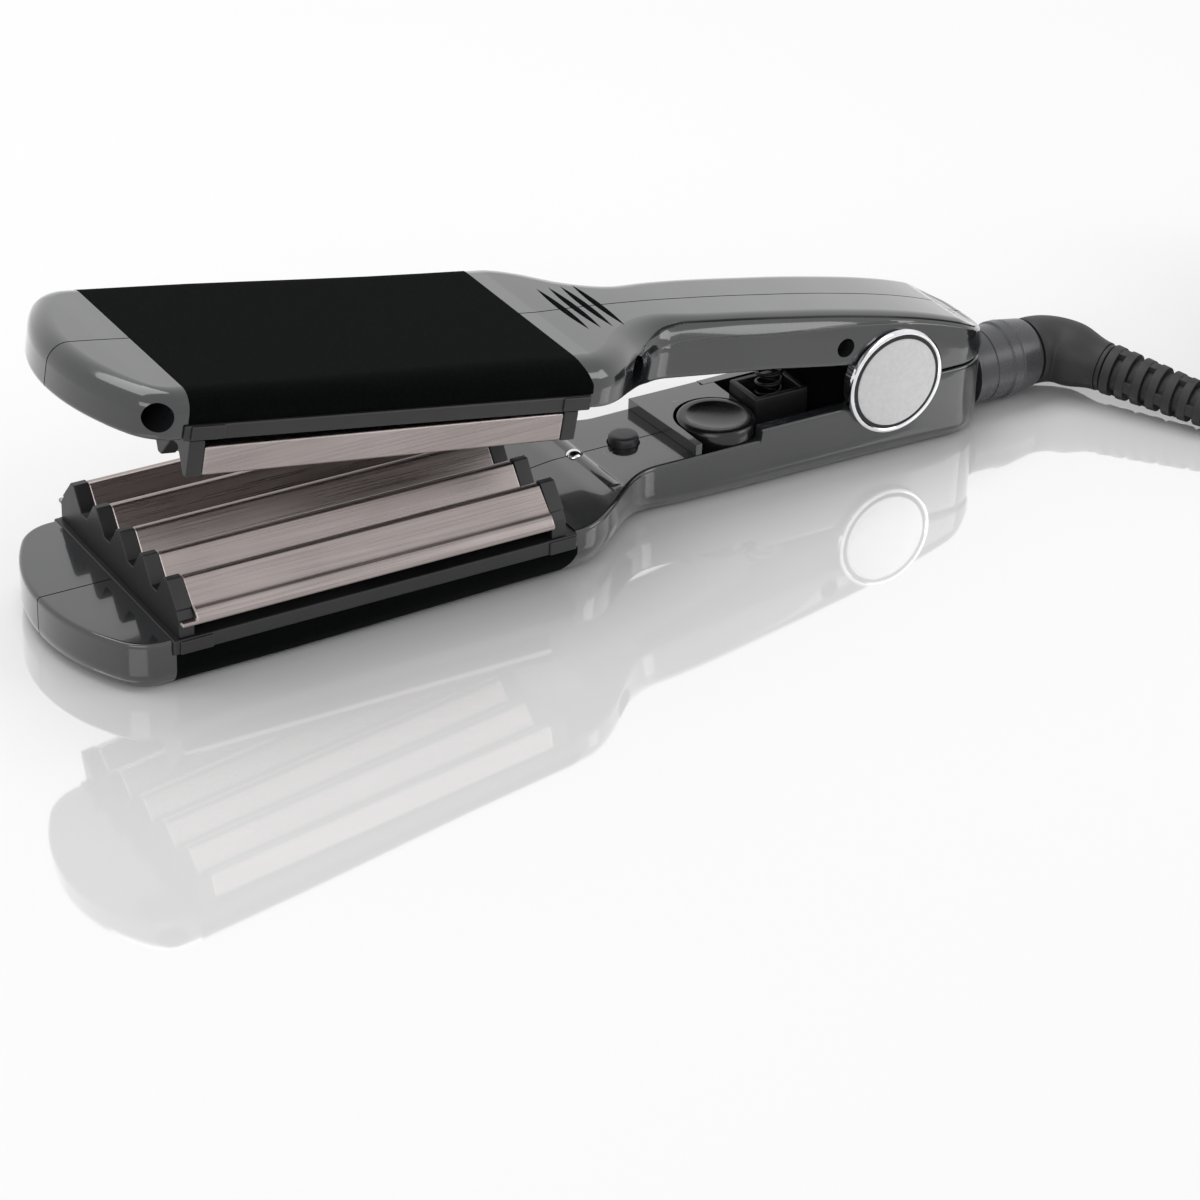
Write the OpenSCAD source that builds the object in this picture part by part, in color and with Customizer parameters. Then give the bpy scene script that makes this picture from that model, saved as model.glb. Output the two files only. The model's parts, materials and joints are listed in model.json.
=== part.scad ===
// Hair crimper: two hinged arms with corrugated plates, a heat dial, a power button and a swivel cord.
// The part's frame has +X towards the cord, +Y to the far side and +Z up, and the lower arm lies on Z = 0.
// Each arm is drawn in its own frame: x runs along the arm from the hinge axis, y across it, and h
// outwards from the hinge plane. The lower arm is that frame turned upside down, and the upper arm is
// tilted open.

/* [Arms] */
// Distance from the hinge axis to the tip
nose_reach = 217; // [205:1:235]
// Distance from the hinge axis to the tail
tail_reach = 31.7; // [30:0.1:36]
// Angle between the arms when they rest open
open_deg = 8.6; // [7:0.1:10]
// Width of the heads
head_w = 60.8; // [58:0.2:66]
// Width of the handles behind the neck
handle_w = 29; // [28.4:0.2:31]
// Width of the handles at the hinge
hinge_w = 30.6; // [30.6:0.2:33]
// Distance from the hinge axis to where the heads begin to narrow
head_rear = 95.5; // [93:0.5:97]
// Distance from the hinge axis to the end of the neck
neck_end = 66; // [62:1:70]
// Radius of the tip's front curve
nose_front_r = 47; // [42:1:60]
// Radius of the tip's corners
nose_corner_r = 11; // [8:0.5:14]
// Radius of the tail's corners
tail_corner_r = 11.7; // [8:0.1:14]
// Wall thickness of the casings
wall = 2.2; // [1.8:0.1:2.4]
// Depth of the lower arm below the hinge axis
lower_depth = 21.4; // [21:0.1:24]
// Depth of the upper head above the hinge plane, at its tip
upper_head_depth = 19.6; // [19.6:0.1:21]
// How much the upper head's back, pad and frame fall from the tip to the neck
head_fall = 1.8; // [0:0.1:1.8]
// Depth of the upper handle in its middle
upper_mid_depth = 18.4; // [18.4:0.1:19]
// Depth of the upper handle at the hinge
upper_hinge_depth = 15.9; // [15.6:0.1:16.6]
// Depth of the upper arm's tail
upper_tail_depth = 8.6; // [8:0.1:9]
// Height of the heads' inner faces from the hinge plane
head_face_h = 9.2; // [8.8:0.1:10]
// Height of the lower handle's inner face from the hinge plane
lower_grip_h = 7.8; // [7.4:0.1:8.4]
// Height of the lower side walls in front of the hinge
lower_wall_h = 5; // [4.6:0.1:6]
// Height of the upper handle's inner face from the hinge plane
upper_grip_h = 5; // [4.6:0.1:6]
// Depth of the split line behind the hinge
split_h = 1.6; // [1.2:0.1:2.2]
// Gap left between the tails when the arms are open
split_gap = 0.4; // [0.3:0.05:0.8]

/* [Plates] */
// Distance from the hinge axis to the plates' front ends
plate_front = 193.6; // [186:0.1:194]
// Distance from the hinge axis to the plates' rear ends
plate_rear = 104; // [103:0.1:112]
// Distance from one ridge to the next
crest_pitch = 12; // [11.6:0.1:12.4]
// Height of the ridges
crest_rise = 4.8; // [4:0.1:5]
// Flat width on top of a ridge
crest_flat = 1.6; // [1.2:0.1:2]
// Flat width at the bottom of a groove
groove_flat = 2.8; // [2.4:0.1:3.2]
// Height of the lower ridges above the hinge plane
lower_crest = 2.2; // [1.8:0.1:2.3]
// Height of the upper ridges above the hinge plane
upper_crest = 0.45; // [0.4:0.05:0.8]
// Thickness of the plates under their grooves
plate_web = 2; // [1.6:0.1:2.4]
// Width of the lower plate over its lips
lower_plate_w = 64.4; // [62:0.2:66]
// Thickness of the end caps along the arm
cap_t = 3.7; // [3:0.1:3.9]
// How far the caps' ridges stand above the plates'
cap_proud = 0.35; // [0.2:0.05:0.4]
// Width of the lower plate's lips beside its front cap
lip_w = 1.6; // [1.2:0.1:2]
// Length of the heaters
heater_l = 72; // [60:1:80]
// Width of the heaters
heater_w = 18; // [14:1:22]
// Thickness of the heaters
heater_t = 2.6; // [2:0.1:3]
// Depth of the plate carriers
carrier_d = 7.1; // [6.6:0.1:7.4]

/* [Pads] */
// Distance from the hinge axis to the pads' front edge
pad_front = 198; // [194:0.5:199]
// Distance from the hinge axis to the pads' rear edge on the sides
pad_rear = 97; // [95:0.5:99]
// How far the pads' rear edge sweeps forward on top
pad_sweep = 3; // [2:0.5:6]
// Thickness of the pads
pad_t = 1.2; // [1:0.1:1.4]
// Height of the frame rails from the hinge plane to their outer edge
rail_h = 12.8; // [12.4:0.1:13.4]
// How far the frame rails stand out from the casings
rail_proud = 0.8; // [0.4:0.1:1.2]

/* [Controls] */
// Distance from the hinge axis to the dial's centre
dial_x = 43; // [42:0.1:44]
// Offset of the dial towards the near side
dial_y = 3.9; // [3:0.1:3.9]
// Diameter of the dial
dial_d = 19.8; // [17:0.1:19.8]
// Height of the dial's top from the hinge plane
dial_h = 4.5; // [4:0.1:4.8]
// Thickness of the dial
dial_t = 5.2; // [4.6:0.1:5.2]
// Front edge of the dial's panel, from the hinge axis
panel_front = 56.5; // [55:0.1:58]
// Rear edge of the dial's panel, from the hinge axis
panel_rear = 33.6; // [33.4:0.1:34]
// How much nearer the hinge the panel's front edge ends on the near side
panel_slant = 1.6; // [0:0.1:1.8]
// Thickness of the dial's panel
panel_t = 2.8; // [2.2:0.1:3]
// Width of the dial's panel
panel_w = 28; // [26:0.2:28.4]
// Distance from the hinge axis to the power button
button_x = 66.4; // [65:0.1:68]
// Diameter of the power button
button_d = 7.4; // [6:0.1:8]
// How far the power button stands proud
button_proud = 2.3; // [1.6:0.1:2.6]
// How far the power button travels
button_travel = 1; // [0.6:0.1:1.2]
// Distance from the hinge axis to the indicator
lamp_x = 80; // [78:0.1:82]
// Diameter of the indicator
lamp_d = 4.2; // [3.6:0.1:5]

/* [Hinge] */
// Diameter of the hinge pin
pin_d = 6; // [5:0.1:6.6]
// Outer diameter of the hinge bushes
bush_d = 8.4; // [8:0.1:9.4]
// Diameter of the chrome discs
disc_d = 26.8; // [26:0.2:28]
// Thickness of the chrome discs
disc_t = 1.6; // [1.4:0.1:2.4]
// Diameter of the upper arm's hinge eyes
eye_d = 24.6; // [23:0.2:25]
// Diameter of the lower arm's hinge eyes
lower_eye_d = 20; // [18:0.2:20.6]
// Thickness of each lower hinge eye
lower_eye_t = 2.5; // [2:0.1:3]
// Distance from the hinge axis to the opening spring
spring_x = 25.5; // [25.3:0.1:25.8]
// Outer diameter of the opening spring
spring_d = 7.2; // [6:0.1:7.6]
// Wire diameter of the opening spring
spring_wire = 0.9; // [0.8:0.05:1.1]
// Number of the opening spring's coils
spring_coils = 8; // [6:1:9]
// Length of the spring tower along the arm
tower_l = 15; // [13:0.1:15]
// Width of the spring tower
tower_w = 12; // [11:0.1:14]
// Height of the spring tower's rim from the hinge plane
tower_h = 2; // [1.6:0.1:3]
// Height of the spring's seat in the tower from the hinge plane
spring_seat_h = 13; // [12:0.1:14]

/* [Cord] */
// Diameter of the cord
cord_d = 7; // [6:0.1:7]
// Height of the swivel's axis above the table
swivel_z = 9.9; // [9.85:0.05:10]
// Diameter of the cord collar
collar_d = 19.6; // [18:0.2:19.6]
// Length of the cord collar
collar_l = 20.3; // [19:0.1:22]
// Bore of the cord collar
collar_bore = 14; // [12:0.1:15]
// Diameter of the elbow
elbow_d = 17; // [15:0.2:17.6]
// Bend radius of the elbow
elbow_r = 9; // [9:0.1:11]
// Angle through which the elbow turns
elbow_deg = 64; // [50:1:75]
// Roll of the elbow about the swivel's axis at rest
elbow_roll = 5.5; // [5:0.1:6]
// Length of the elbow's tapered throat
throat_l = 10; // [8:0.5:11]
// Length of the strain relief
relief_l = 42; // [36:1:43]
// Diameter of the strain relief at the elbow
relief_d = 12; // [10:0.2:13]
// Number of ribs on the strain relief
relief_ribs = 9; // [6:1:10]
// Least radius of the coil's turns
coil_in_r = 31; // [30:0.5:33]
// Distance from one turn of the coil to the next
coil_pitch = 7.5; // [7.5:0.1:8]
// Thickness of the cord's tie
tie_t = 1.2; // [1:0.1:1.6]
// Width of the cord's tie
tie_w = 11; // [8:0.5:14]
// Width of the plug
plug_w = 35.3; // [34:0.1:37]
// Thickness of the plug
plug_t = 13.7; // [13:0.1:15]
// Length of the plug's body
plug_l = 36; // [32:0.5:38]
// Diameter of the plug's pins
plug_pin_d = 4; // [3.9:0.1:4.8]
// Length of the plug's pins
plug_pin_l = 19; // [18:0.1:20]
// Distance between the plug's pins
plug_pin_gap = 18.6; // [17.5:0.1:19]

/* [Screws] */
// Diameter of the larger screw wells
well_d = 6.4; // [6:0.1:6.6]
// Diameter of the screw well near the hinge
small_well_d = 4.8; // [4.6:0.1:5.4]
// Diameter of the casing screws
screw_d = 2.5; // [2:0.1:2.6]
// Distance from the hinge axis to the tip screws
tip_screw_x = 204.6; // [204.4:0.1:206]
// Height of the tip screws from the hinge plane
tip_screw_h = 14.2; // [14:0.1:14.4]
// Distance from the hinge axis to the neck screws
neck_screw_x = 79.4; // [77:0.1:80]
// Height of the neck screws from the hinge plane
neck_screw_h = 11.2; // [11:0.1:11.3]
// Distance from the hinge axis to the upper arm's rear screw
rear_screw_x = 15.9; // [15.5:0.1:16.4]
// Height of the upper arm's rear screw from the hinge plane
rear_screw_h = 9.3; // [9:0.1:9.6]

/* [Hidden] */
$fn = 48;

// Clearance of pieces that are fixed to each other
fit = 0.1;
// Clearance between pieces that move past each other
gap = 0.3;
// Running clearance of a shaft in its bore
run_fit = 0.05;
// Clearance of a piece pressed into its seat
press = 0.02;
// Overlap of a cut past the face that it opens
eps = 0.1;
charcoal = [0.2, 0.205, 0.215];
black = [0.05, 0.05, 0.055];
taupe = [0.62, 0.53, 0.5];
steel = [0.8, 0.8, 0.82];
brass = [0.75, 0.62, 0.32];

head_half = head_w / 2;
handle_half = handle_w / 2;
hinge_half = hinge_w / 2;
pivot_z = lower_depth;

// Plan outline of an arm, as [x, y, angle of the outward normal], from the tip to the tail on one side.
function arc(cx, cy, r, a0, a1, n) =
    [for (i = [0:n]) let (a = a0 + (a1 - a0) * i / n) [cx + r * cos(a), cy + r * sin(a), a]];
function skip_first(list) = [for (i = [1:len(list) - 1]) list[i]];
function mix(a, b, t) = a + (b - a) * t;
function ease(t) = t <= 0 ? 0 : t >= 1 ? 1 : (1 - cos(180 * t)) / 2;

nose_cx = nose_front_r - nose_reach;
corner_cy = head_half - nose_corner_r;
corner_cx = nose_cx - sqrt(pow(nose_front_r - nose_corner_r, 2) - pow(corner_cy, 2));
corner_deg = atan2(corner_cy, corner_cx - nose_cx);
nose_flat_deg = 2;
tail_cx = tail_reach - tail_corner_r;
tail_cy = hinge_half - tail_corner_r;
lug_clear_x = eye_d / 2 + gap + 0.3;
step_x = dial_x - dial_d / 2 + 3.6;
step_run = 0.4;
handle_stations = [-60, -50, -step_x - step_run, -step_x, -24, -lug_clear_x, 0, lug_clear_x,
    lug_clear_x + step_run, tail_cx];
function neck_half(x) = mix(head_half, handle_half, ease((x + head_rear) / (head_rear - neck_end)));
function neck_normal(x) =
    90 - atan((neck_half(x - 0.2) - neck_half(x + 0.2)) / 0.4);
half_outline = concat(
    arc(nose_cx, 0, nose_front_r, 180 - nose_flat_deg, corner_deg, 3),
    skip_first(arc(corner_cx, corner_cy, nose_corner_r, corner_deg, 90, 5)),
    [for (i = [1:7]) [mix(corner_cx, -head_rear, i / 7), head_half, 90]],
    [for (i = [1:7]) let (x = mix(-head_rear, -neck_end, i / 7)) [x, neck_half(x), neck_normal(x)]],
    [for (x = handle_stations) [x, x < 0 ? mix(hinge_half, handle_half, -x / neck_end) : hinge_half, 90]],
    skip_first(arc(tail_cx, tail_cy, tail_corner_r, 90, 0, 5)));
half_count = len(half_outline);
outline = concat(half_outline,
    [for (i = [half_count - 1:-1:0]) [half_outline[i].x, -half_outline[i].y, -half_outline[i].z]]);
outline_count = len(outline);

// Inner face, outer face and edge rounding of each arm along x.
split_rise = sin(open_deg);
function upper_split(x) = (split_gap - split_h + x * split_rise) / cos(open_deg);
lower_face = [[-nose_reach, head_face_h], [-head_rear - 3, head_face_h], [-neck_screw_x - 6, lower_grip_h],
    [-step_x - step_run, lower_grip_h], [-step_x, lower_wall_h], [lug_clear_x, lower_wall_h],
    [lug_clear_x + step_run, split_h], [tail_reach, split_h]];
upper_face = [[-nose_reach, head_face_h], [-head_rear + 1, head_face_h - head_fall], [-84, 7.2],
    [-72, upper_grip_h],
    [-35, upper_grip_h], [-lug_clear_x, upper_grip_h - 0.8], [0, upper_grip_h - 0.8],
    [lug_clear_x, upper_split(lug_clear_x)], [tail_reach, upper_split(tail_reach)]];
lower_back = [[-nose_reach, lower_depth], [tail_reach, lower_depth]];
function tail_back(share) = mix(upper_hinge_depth, upper_tail_depth, share);
upper_back = [[-nose_reach, upper_head_depth], [-head_rear, upper_head_depth - head_fall],
    [-neck_end, upper_mid_depth + 0.4], [-44, upper_mid_depth],
    [-18, mix(upper_mid_depth, upper_hinge_depth, 0.45)], [0, upper_hinge_depth], [10, tail_back(0.17)],
    [18, tail_back(0.36)], [25, tail_back(0.59)], [30, tail_back(0.85)], [tail_reach, upper_tail_depth]];
head_edge_r = 4.6;
neck_edge_r = 10;
grip_edge_r = 5.5;
edge_table = [[-nose_reach, head_edge_r], [-170, head_edge_r], [-head_rear, neck_edge_r], [-72, 7.5],
    [-56, grip_edge_r], [0, grip_edge_r], [tail_reach, 4]];

// Closed body of an arm, drawn in by t from its skin.
round_steps = 5;
function edge_round(x, depth) = min(lookup(x, edge_table), depth * 0.62);
function ring(face, back, t, level) = [for (p = outline)
    let (lo = lookup(p.x, face) + t,
         hi = lookup(p.x, back) - t,
         r = max(edge_round(p.x, hi - lo + t) - t, 0.5),
         a = 90 * (level - 1) / round_steps,
         d = t + (level == 0 ? 0 : r * (1 - cos(a))),
         h = level == 0 ? lo : hi - r + r * sin(a))
    [p.x - d * cos(p.z), p.y - d * sin(p.z), h]];
module arm_body(face, back, t) {
    levels = round_steps + 2;
    n = outline_count;
    points = [for (level = [0:levels - 1]) each ring(face, back, t, level)];
    sides = [for (level = [0:levels - 2], i = [0:n - 1])
        let (j = (i + 1) % n, a = level * n, b = a + n) [a + i, b + i, b + j, a + j]];
    top = (levels - 1) * n;
    lids = [for (i = [0:half_count - 2])
        let (m = n - 1 - i, k = n - 2 - i)
        each [[i, i + 1, k, m], [top + i, top + m, top + k, top + i + 1]]];
    faces = [for (f = concat(sides, lids)) each split_face(points, f)];
    polyhedron(points, faces);
}
// A face of four points becomes two triangles, and one whose points coincide is left out.
function split_face(p, f) = concat(
    norm(p[f[0]] - p[f[1]]) > 0.001 && norm(p[f[1]] - p[f[2]]) > 0.001 && f[0] != f[1] && f[1] != f[2]
        ? [[f[2], f[1], f[0]]] : [],
    f[0] != f[3] && f[2] != f[3] && norm(p[f[2]] - p[f[3]]) > 0.001 ? [[f[3], f[2], f[0]]] : []);

// Placing helpers.
module lower() { translate([x_shift, 0, pivot_z]) mirror([0, 0, 1]) children(); }
module upper() { translate([x_shift, 0, pivot_z]) rotate([0, open_deg, 0]) children(); }
module along_x(x0, x1) { translate([x0, 0, 0]) rotate([90, 0, 90]) linear_extrude(x1 - x0) children(); }
module along_y(y0, y1) { translate([0, y1, 0]) rotate([90, 0, 0]) linear_extrude(y1 - y0) children(); }
module y_rod(x, h, d, y0, y1) { translate([x, y1, h]) rotate([90, 0, 0]) cylinder(d = d, h = y1 - y0); }
module h_rod(x, y, d, h0, h1) { translate([x, y, h0]) cylinder(d = d, h = h1 - h0); }
module box(x0, x1, y0, y1, h0, h1) { translate([x0, y0, h0]) cube([x1 - x0, y1 - y0, h1 - h0]); }
module sides() { children(); mirror([0, 1, 0]) children(); }
// Leans a shape towards the hinge plane by drop between the tip and the neck.
module falling(drop) {
    lean = -drop / (nose_reach - head_rear);
    multmatrix([[1, 0, 0, 0], [0, 1, 0, 0], [lean, 0, 1, lean * nose_reach], [0, 0, 0, 1]]) children();
}

// Head of an arm: pad space, frame, carrier, plate, caps, heater and clamp.
frame_front = pad_front + 1;
frame_rear = pad_rear + 0.5;
rail_margin = 0.2;
upper_plate_half = 2.5 * crest_pitch + crest_flat / 2 + 0.2;
frame_half = max(head_half + rail_proud, upper_plate_half + rail_margin);
frame_bar = 5;
carrier_half = head_half - pad_t - wall - 2.4;
carrier_floor = 1.5;
lower_back_h = crest_rise - lower_crest + plate_web + 1.3;
upper_back_h = upper_crest + crest_rise + plate_web;

module pad_region() {
    far = head_w;
    along_y(-far, far) polygon([
        [-pad_front, rail_h + fit], [-pad_rear, rail_h + fit], [-pad_rear, rail_h + 2.2],
        [-pad_rear - pad_sweep * 0.35, rail_h + 4.4], [-pad_rear - pad_sweep, lower_depth - 1.2],
        [-pad_rear - pad_sweep, lower_depth + 5], [-pad_front, lower_depth + 5]]);
}
module pad_solid(face, back, drop) {
    difference() {
        intersection() {
            arm_body(face, back, 0);
            falling(drop) pad_region();
        }
        arm_body(face, back, pad_t);
    }
}
module plate_frame() {
    difference() {
        box(-frame_front, -frame_rear, -frame_half, frame_half, head_face_h, rail_h);
        box(-frame_front + frame_bar, -frame_rear - frame_bar - 1.1, -carrier_half - gap,
            carrier_half + gap, head_face_h - eps, rail_h + eps);
    }
}
module plate_carrier(back_h) {
    x0 = -plate_front + fit;
    x1 = -plate_rear - fit;
    difference() {
        box(x0, x1, -carrier_half, carrier_half, back_h, back_h + carrier_d);
        box(x0 + 2, x1 - 2, -carrier_half + 2, carrier_half - 2, back_h - eps,
            back_h + carrier_d - carrier_floor);
    }
}
module heater(back_h) {
    middle = -(plate_front + plate_rear) / 2;
    box(middle - heater_l / 2, middle + heater_l / 2, -heater_w / 2, heater_w / 2, back_h,
        back_h + heater_t);
}
// A bowed leaf that presses the heater onto the plate.
clamp_t = 0.5;
clamp_l = 52;
clamp_w = 12;
module heater_clamp(back_h) {
    middle = -(plate_front + plate_rear) / 2;
    h0 = back_h + heater_t;
    h1 = back_h + carrier_d - carrier_floor;
    along_y(-clamp_w / 2, clamp_w / 2) polygon([
        [middle - clamp_l / 2, h1], [middle - clamp_l / 2, h1 - clamp_t],
        [middle - clamp_l / 2 + 6, h1 - clamp_t], [middle - 6, h0], [middle + 6, h0],
        [middle + clamp_l / 2 - 6, h1 - clamp_t], [middle + clamp_l / 2, h1 - clamp_t],
        [middle + clamp_l / 2, h1], [middle + clamp_l / 2 - 6.2, h1], [middle + 5.8, h0 + clamp_t],
        [middle - 5.8, h0 + clamp_t], [middle - clamp_l / 2 + 6.2, h1]]);
}
// Ridges of a plate across y: crests at the given places, with grooves between them.
function ridges(crests, top, bottom) = [for (i = [0:len(crests) - 1]) each concat(
    [[crests[i] - crest_flat / 2, top], [crests[i] + crest_flat / 2, top]],
    i < len(crests) - 1 ? [[crests[i] + crest_pitch / 2 - groove_flat / 2, bottom],
        [crests[i] + crest_pitch / 2 + groove_flat / 2, bottom]] : [])];
lower_crests = [for (i = [-2:2]) i * crest_pitch];
upper_crests = [for (i = [-2.5:1:2.5]) i * crest_pitch];
lower_groove_h = crest_rise - lower_crest;
upper_groove_h = crest_rise + upper_crest;
lip_rise = 2.2;
lip_run = 1.4;
lip_start = 0.5;
module lower_profile(top, bottom, back_h, lip_y) {
    flank = 2 * crest_pitch + crest_flat / 2 + (crest_pitch - crest_flat - groove_flat) / 2 + 0.8;
    polygon(concat([[-lip_y, back_h], [-lip_y, lower_groove_h + lip_rise],
        [-lip_y + lip_run, lower_groove_h + lip_start], [-flank, bottom - 0.1]],
        ridges(lower_crests, top, bottom), [[flank, bottom - 0.1],
        [lip_y - lip_run, lower_groove_h + lip_start], [lip_y, lower_groove_h + lip_rise], [lip_y, back_h]]));
}
module upper_profile(top, bottom, back_h, side_y) {
    polygon(concat([[-side_y, back_h], [-side_y, top]], skip_first(ridges(upper_crests, top, bottom)),
        [[side_y, top], [side_y, back_h]]));
}

// Screw wells, bosses and screws. side is -1 where they enter from the near side and 1 from the far side.
well_floor = 5;
head_t = 2;
screw_grip = 8;
module from_side(side) { mirror([0, side > 0 ? 1 : 0, 0]) children(); }
module screw(s, side) {
    from_side(side) {
        y_rod(s[0], s[1], s[2] - 1, -well_floor - head_t, -well_floor);
        y_rod(s[0], s[1], screw_d, -well_floor, screw_grip);
    }
}
module well(s, side) {
    from_side(side) {
        y_rod(s[0], s[1], s[2], -head_w, -well_floor);
        y_rod(s[0], s[1], screw_d + 2 * press, -well_floor - eps, screw_grip + 0.5);
    }
}
module boss(s) { y_rod(s[0], s[1], s[2] + 1.8, -head_half, head_half); }

// A whole casing: skin, hollow, pad recess, frame seat, bosses and wells.
module casing(face, back, drop, hollow_rear, screws, side) {
    difference() {
        union() {
            difference() {
                arm_body(face, back, 0);
                intersection() {
                    arm_body(face, back, wall + pad_t);
                    box(-nose_reach, hollow_rear, -head_w, head_w, -head_w, head_w);
                }
            }
            intersection() {
                for (s = screws) boss(s);
                arm_body(face, back, pad_t + 0.2);
            }
        }
        difference() {
            falling(drop) pad_region();
            arm_body(face, back, pad_t + fit / 2);
        }
        falling(drop)
            box(-frame_front - fit / 2, -frame_rear + fit / 2, -head_w, head_w, -head_w, rail_h + fit / 2);
        for (s = screws) well(s, side);
        for (y = [-lead_y, lead_y])
            box(-neck_screw_x - 5, -neck_screw_x + 5, y - 1, y + 1, neck_screw_h + 1.9, neck_screw_h + 4.6);
    }
}
module near_half() { box(-nose_reach - 1, tail_reach + 1, -head_w, 0, -head_w, head_w); }
module far_half() { box(-nose_reach - 1, tail_reach + 1, 0, head_w, -head_w, head_w); }

// Lower arm.
tail_screw_x = 14.5;
tail_screw_h = 16.4;
lower_screws_at = [[-tip_screw_x, tip_screw_h, well_d], [-neck_screw_x, neck_screw_h, well_d],
    [tail_screw_x, tail_screw_h, small_well_d]];
skin = wall + pad_t;
well_r = dial_d / 2 + gap;
button_flange_d = button_d + 2;
channel_half = hinge_half - skin;
board_h = 15.2;
board_t = 1.4;
board_front = 91;
board_rear = 36.6;
board_half = 9.6;
lens_foot = neck_screw_h - screw_d / 2 - lower_grip_h - fit;
stub_d = 8;
post_x = [62, 52];
post_y = 7;
post_d = 4;
swivel_h = lower_depth - swivel_z;
module swivel_axis() { translate([0, 0, swivel_h]) children(); }
module lower_casing() {
    difference() {
        union() {
            difference() {
                casing(lower_face, lower_back, 0, tail_reach, lower_screws_at, 1);
                h_rod(-dial_x, -dial_y, 2 * well_r, -head_w, lower_grip_h + skin + eps);
                box(-dial_x - well_r, -dial_x, -dial_y - well_r, -dial_y, -head_w, lower_grip_h + skin + eps);
                h_rod(-button_x, 0, button_d + 2 * gap, -head_w, lower_grip_h + skin + eps);
                h_rod(-lamp_x, 0, lamp_d + 2 * press, -head_w, lower_grip_h + lens_foot);
                box(-panel_rear, lug_clear_x, -channel_half, channel_half, -head_w,
                    lower_wall_h + skin + eps);
                box(-step_x - 1, -panel_rear + eps, -channel_half, channel_half, -head_w, lower_grip_h);
                sides() y_rod(0, 0, eye_d + 2 * gap, eye_y - gap, head_w);
                swivel_axis() along_x(tail_reach - skin - eps, tail_reach + 1) circle(d = stub_d + 2 * gap);
            }
            sides() lower_eye();
            for (x = post_x, side = [-1, 1])
                h_rod(-x, post_y * side, post_d, board_h + board_t, lower_depth - skin + 0.4);
        }
        sides() y_rod(0, 0, pin_d + 2 * press, 0, hinge_half + 1);
    }
}
eye_t = 2.6;
eye_y = hinge_half - eye_t;
lower_eye_y = eye_y - gap - lower_eye_t;
module lower_eye() {
    r = lower_eye_d / 2;
    y_rod(0, 0, lower_eye_d, lower_eye_y, lower_eye_y + lower_eye_t);
    box(-r, r, lower_eye_y, lower_eye_y + lower_eye_t, 0, lower_depth - skin + 0.4);
    box(-r, r, lower_eye_y, hinge_half - wall, eye_d / 2 + gap + 0.8, lower_depth - skin + 0.4);
}
module lower_right_shell() {
    color(charcoal) lower() intersection() { lower_casing(); near_half(); }
}
module lower_left_shell() {
    color(charcoal) lower() intersection() { lower_casing(); far_half(); }
}
module lower_pad() { color(black) lower() pad_solid(lower_face, lower_back, 0); }
module lower_plate_frame() { color(black) lower() plate_frame(); }
module lower_plate_carrier() { color(black) lower() plate_carrier(lower_back_h); }
module lower_crimp_plate() {
    half = lower_plate_w / 2;
    color(taupe) lower() {
        along_x(-plate_front, -plate_rear)
            lower_profile(-lower_crest, lower_groove_h, lower_back_h, half);
        sides() box(-plate_front - cap_t, -plate_front + eps, half - lip_w, half, lower_groove_h + lip_rise,
            lower_back_h);
    }
}
module lower_cap(x0, x1) {
    along_x(x0, x1) lower_profile(-lower_crest - cap_proud, lower_groove_h + 0.3, head_face_h,
        lower_plate_w / 2 - lip_w - fit);
}
module lower_front_cap() { color(black) lower() lower_cap(-plate_front - cap_t, -plate_front); }
module lower_rear_cap() { color(black) lower() lower_cap(-plate_rear, -plate_rear + cap_t); }
module lower_heater() { color("white") lower() heater(lower_back_h); }
module lower_heater_clamp() { color(steel) lower() heater_clamp(lower_back_h); }
module lower_screws() { color(steel) lower() for (s = lower_screws_at) screw(s, 1); }
lead_d = 1.5;
lead_y = 3.6;
lead_straight = 2.5;
lead_reach = 10;
module lead(points) { tube(points, lead_d / 2, 8); }
module lower_leads() {
    floor_h = lower_back_h + carrier_d + lead_d / 2;
    board_middle = board_h + board_t / 2;
    color("firebrick") lower() for (y = [-lead_y, lead_y])
        lead([[-board_front, y, board_middle], [-board_front - lead_straight, y, board_middle],
            [-plate_rear + lead_straight, y, board_h], [-plate_rear - lead_reach, y, floor_h]]);
}
module indicator_lens() {
    top = 1.2;
    color(steel) lower() translate([-lamp_x, 0, lower_grip_h]) rotate_extrude() polygon(concat(
        [[0, lens_foot], [lamp_d / 2, lens_foot], [lamp_d / 2, 0]],
        [for (a = [20:20:80]) [lamp_d / 2 * cos(a), -top * sin(a)]], [[0, -top]]));
}
module dial_panel() {
    half = panel_w / 2;
    color(charcoal) lower() difference() {
        translate([0, 0, lower_grip_h - panel_t]) linear_extrude(panel_t) polygon([
            [-panel_front, half], [-panel_front + panel_slant, -half], [-panel_rear, -half],
            [-panel_rear, half]]);
        h_rod(-dial_x, -dial_y, 2 * well_r, 0, lower_grip_h + eps);
        box(-step_x - step_run - fit, 0, -head_w, -channel_half + fit, 0, lower_grip_h + eps);
        box(-step_x - step_run - fit, 0, channel_half - fit, head_w, 0, lower_grip_h + eps);
        box(-dial_x - well_r, 0, -head_w, -dial_y, 0, lower_grip_h + eps);
    }
}
pot_w = 13;
pot_d = 5;
stem_d = 6;
module dial_potentiometer() {
    color("green") lower() difference() {
        box(-dial_x - pot_w / 2, -dial_x + 6, -dial_y - pot_w / 2, -dial_y + pot_w / 2, board_h - pot_d + 0.6,
            board_h);
        h_rod(-dial_x, -dial_y, stem_d + 2 * run_fit, 0, board_h - 1);
    }
}
module circuit_board() {
    color("darkgreen") lower() difference() {
        box(-board_front, -board_rear, -board_half, board_half, board_h, board_h + board_t);
        box(-neck_screw_x - 4.6, -neck_screw_x + 4.6, -head_w, head_w, 0, board_h + 0.4);
    }
}
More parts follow.
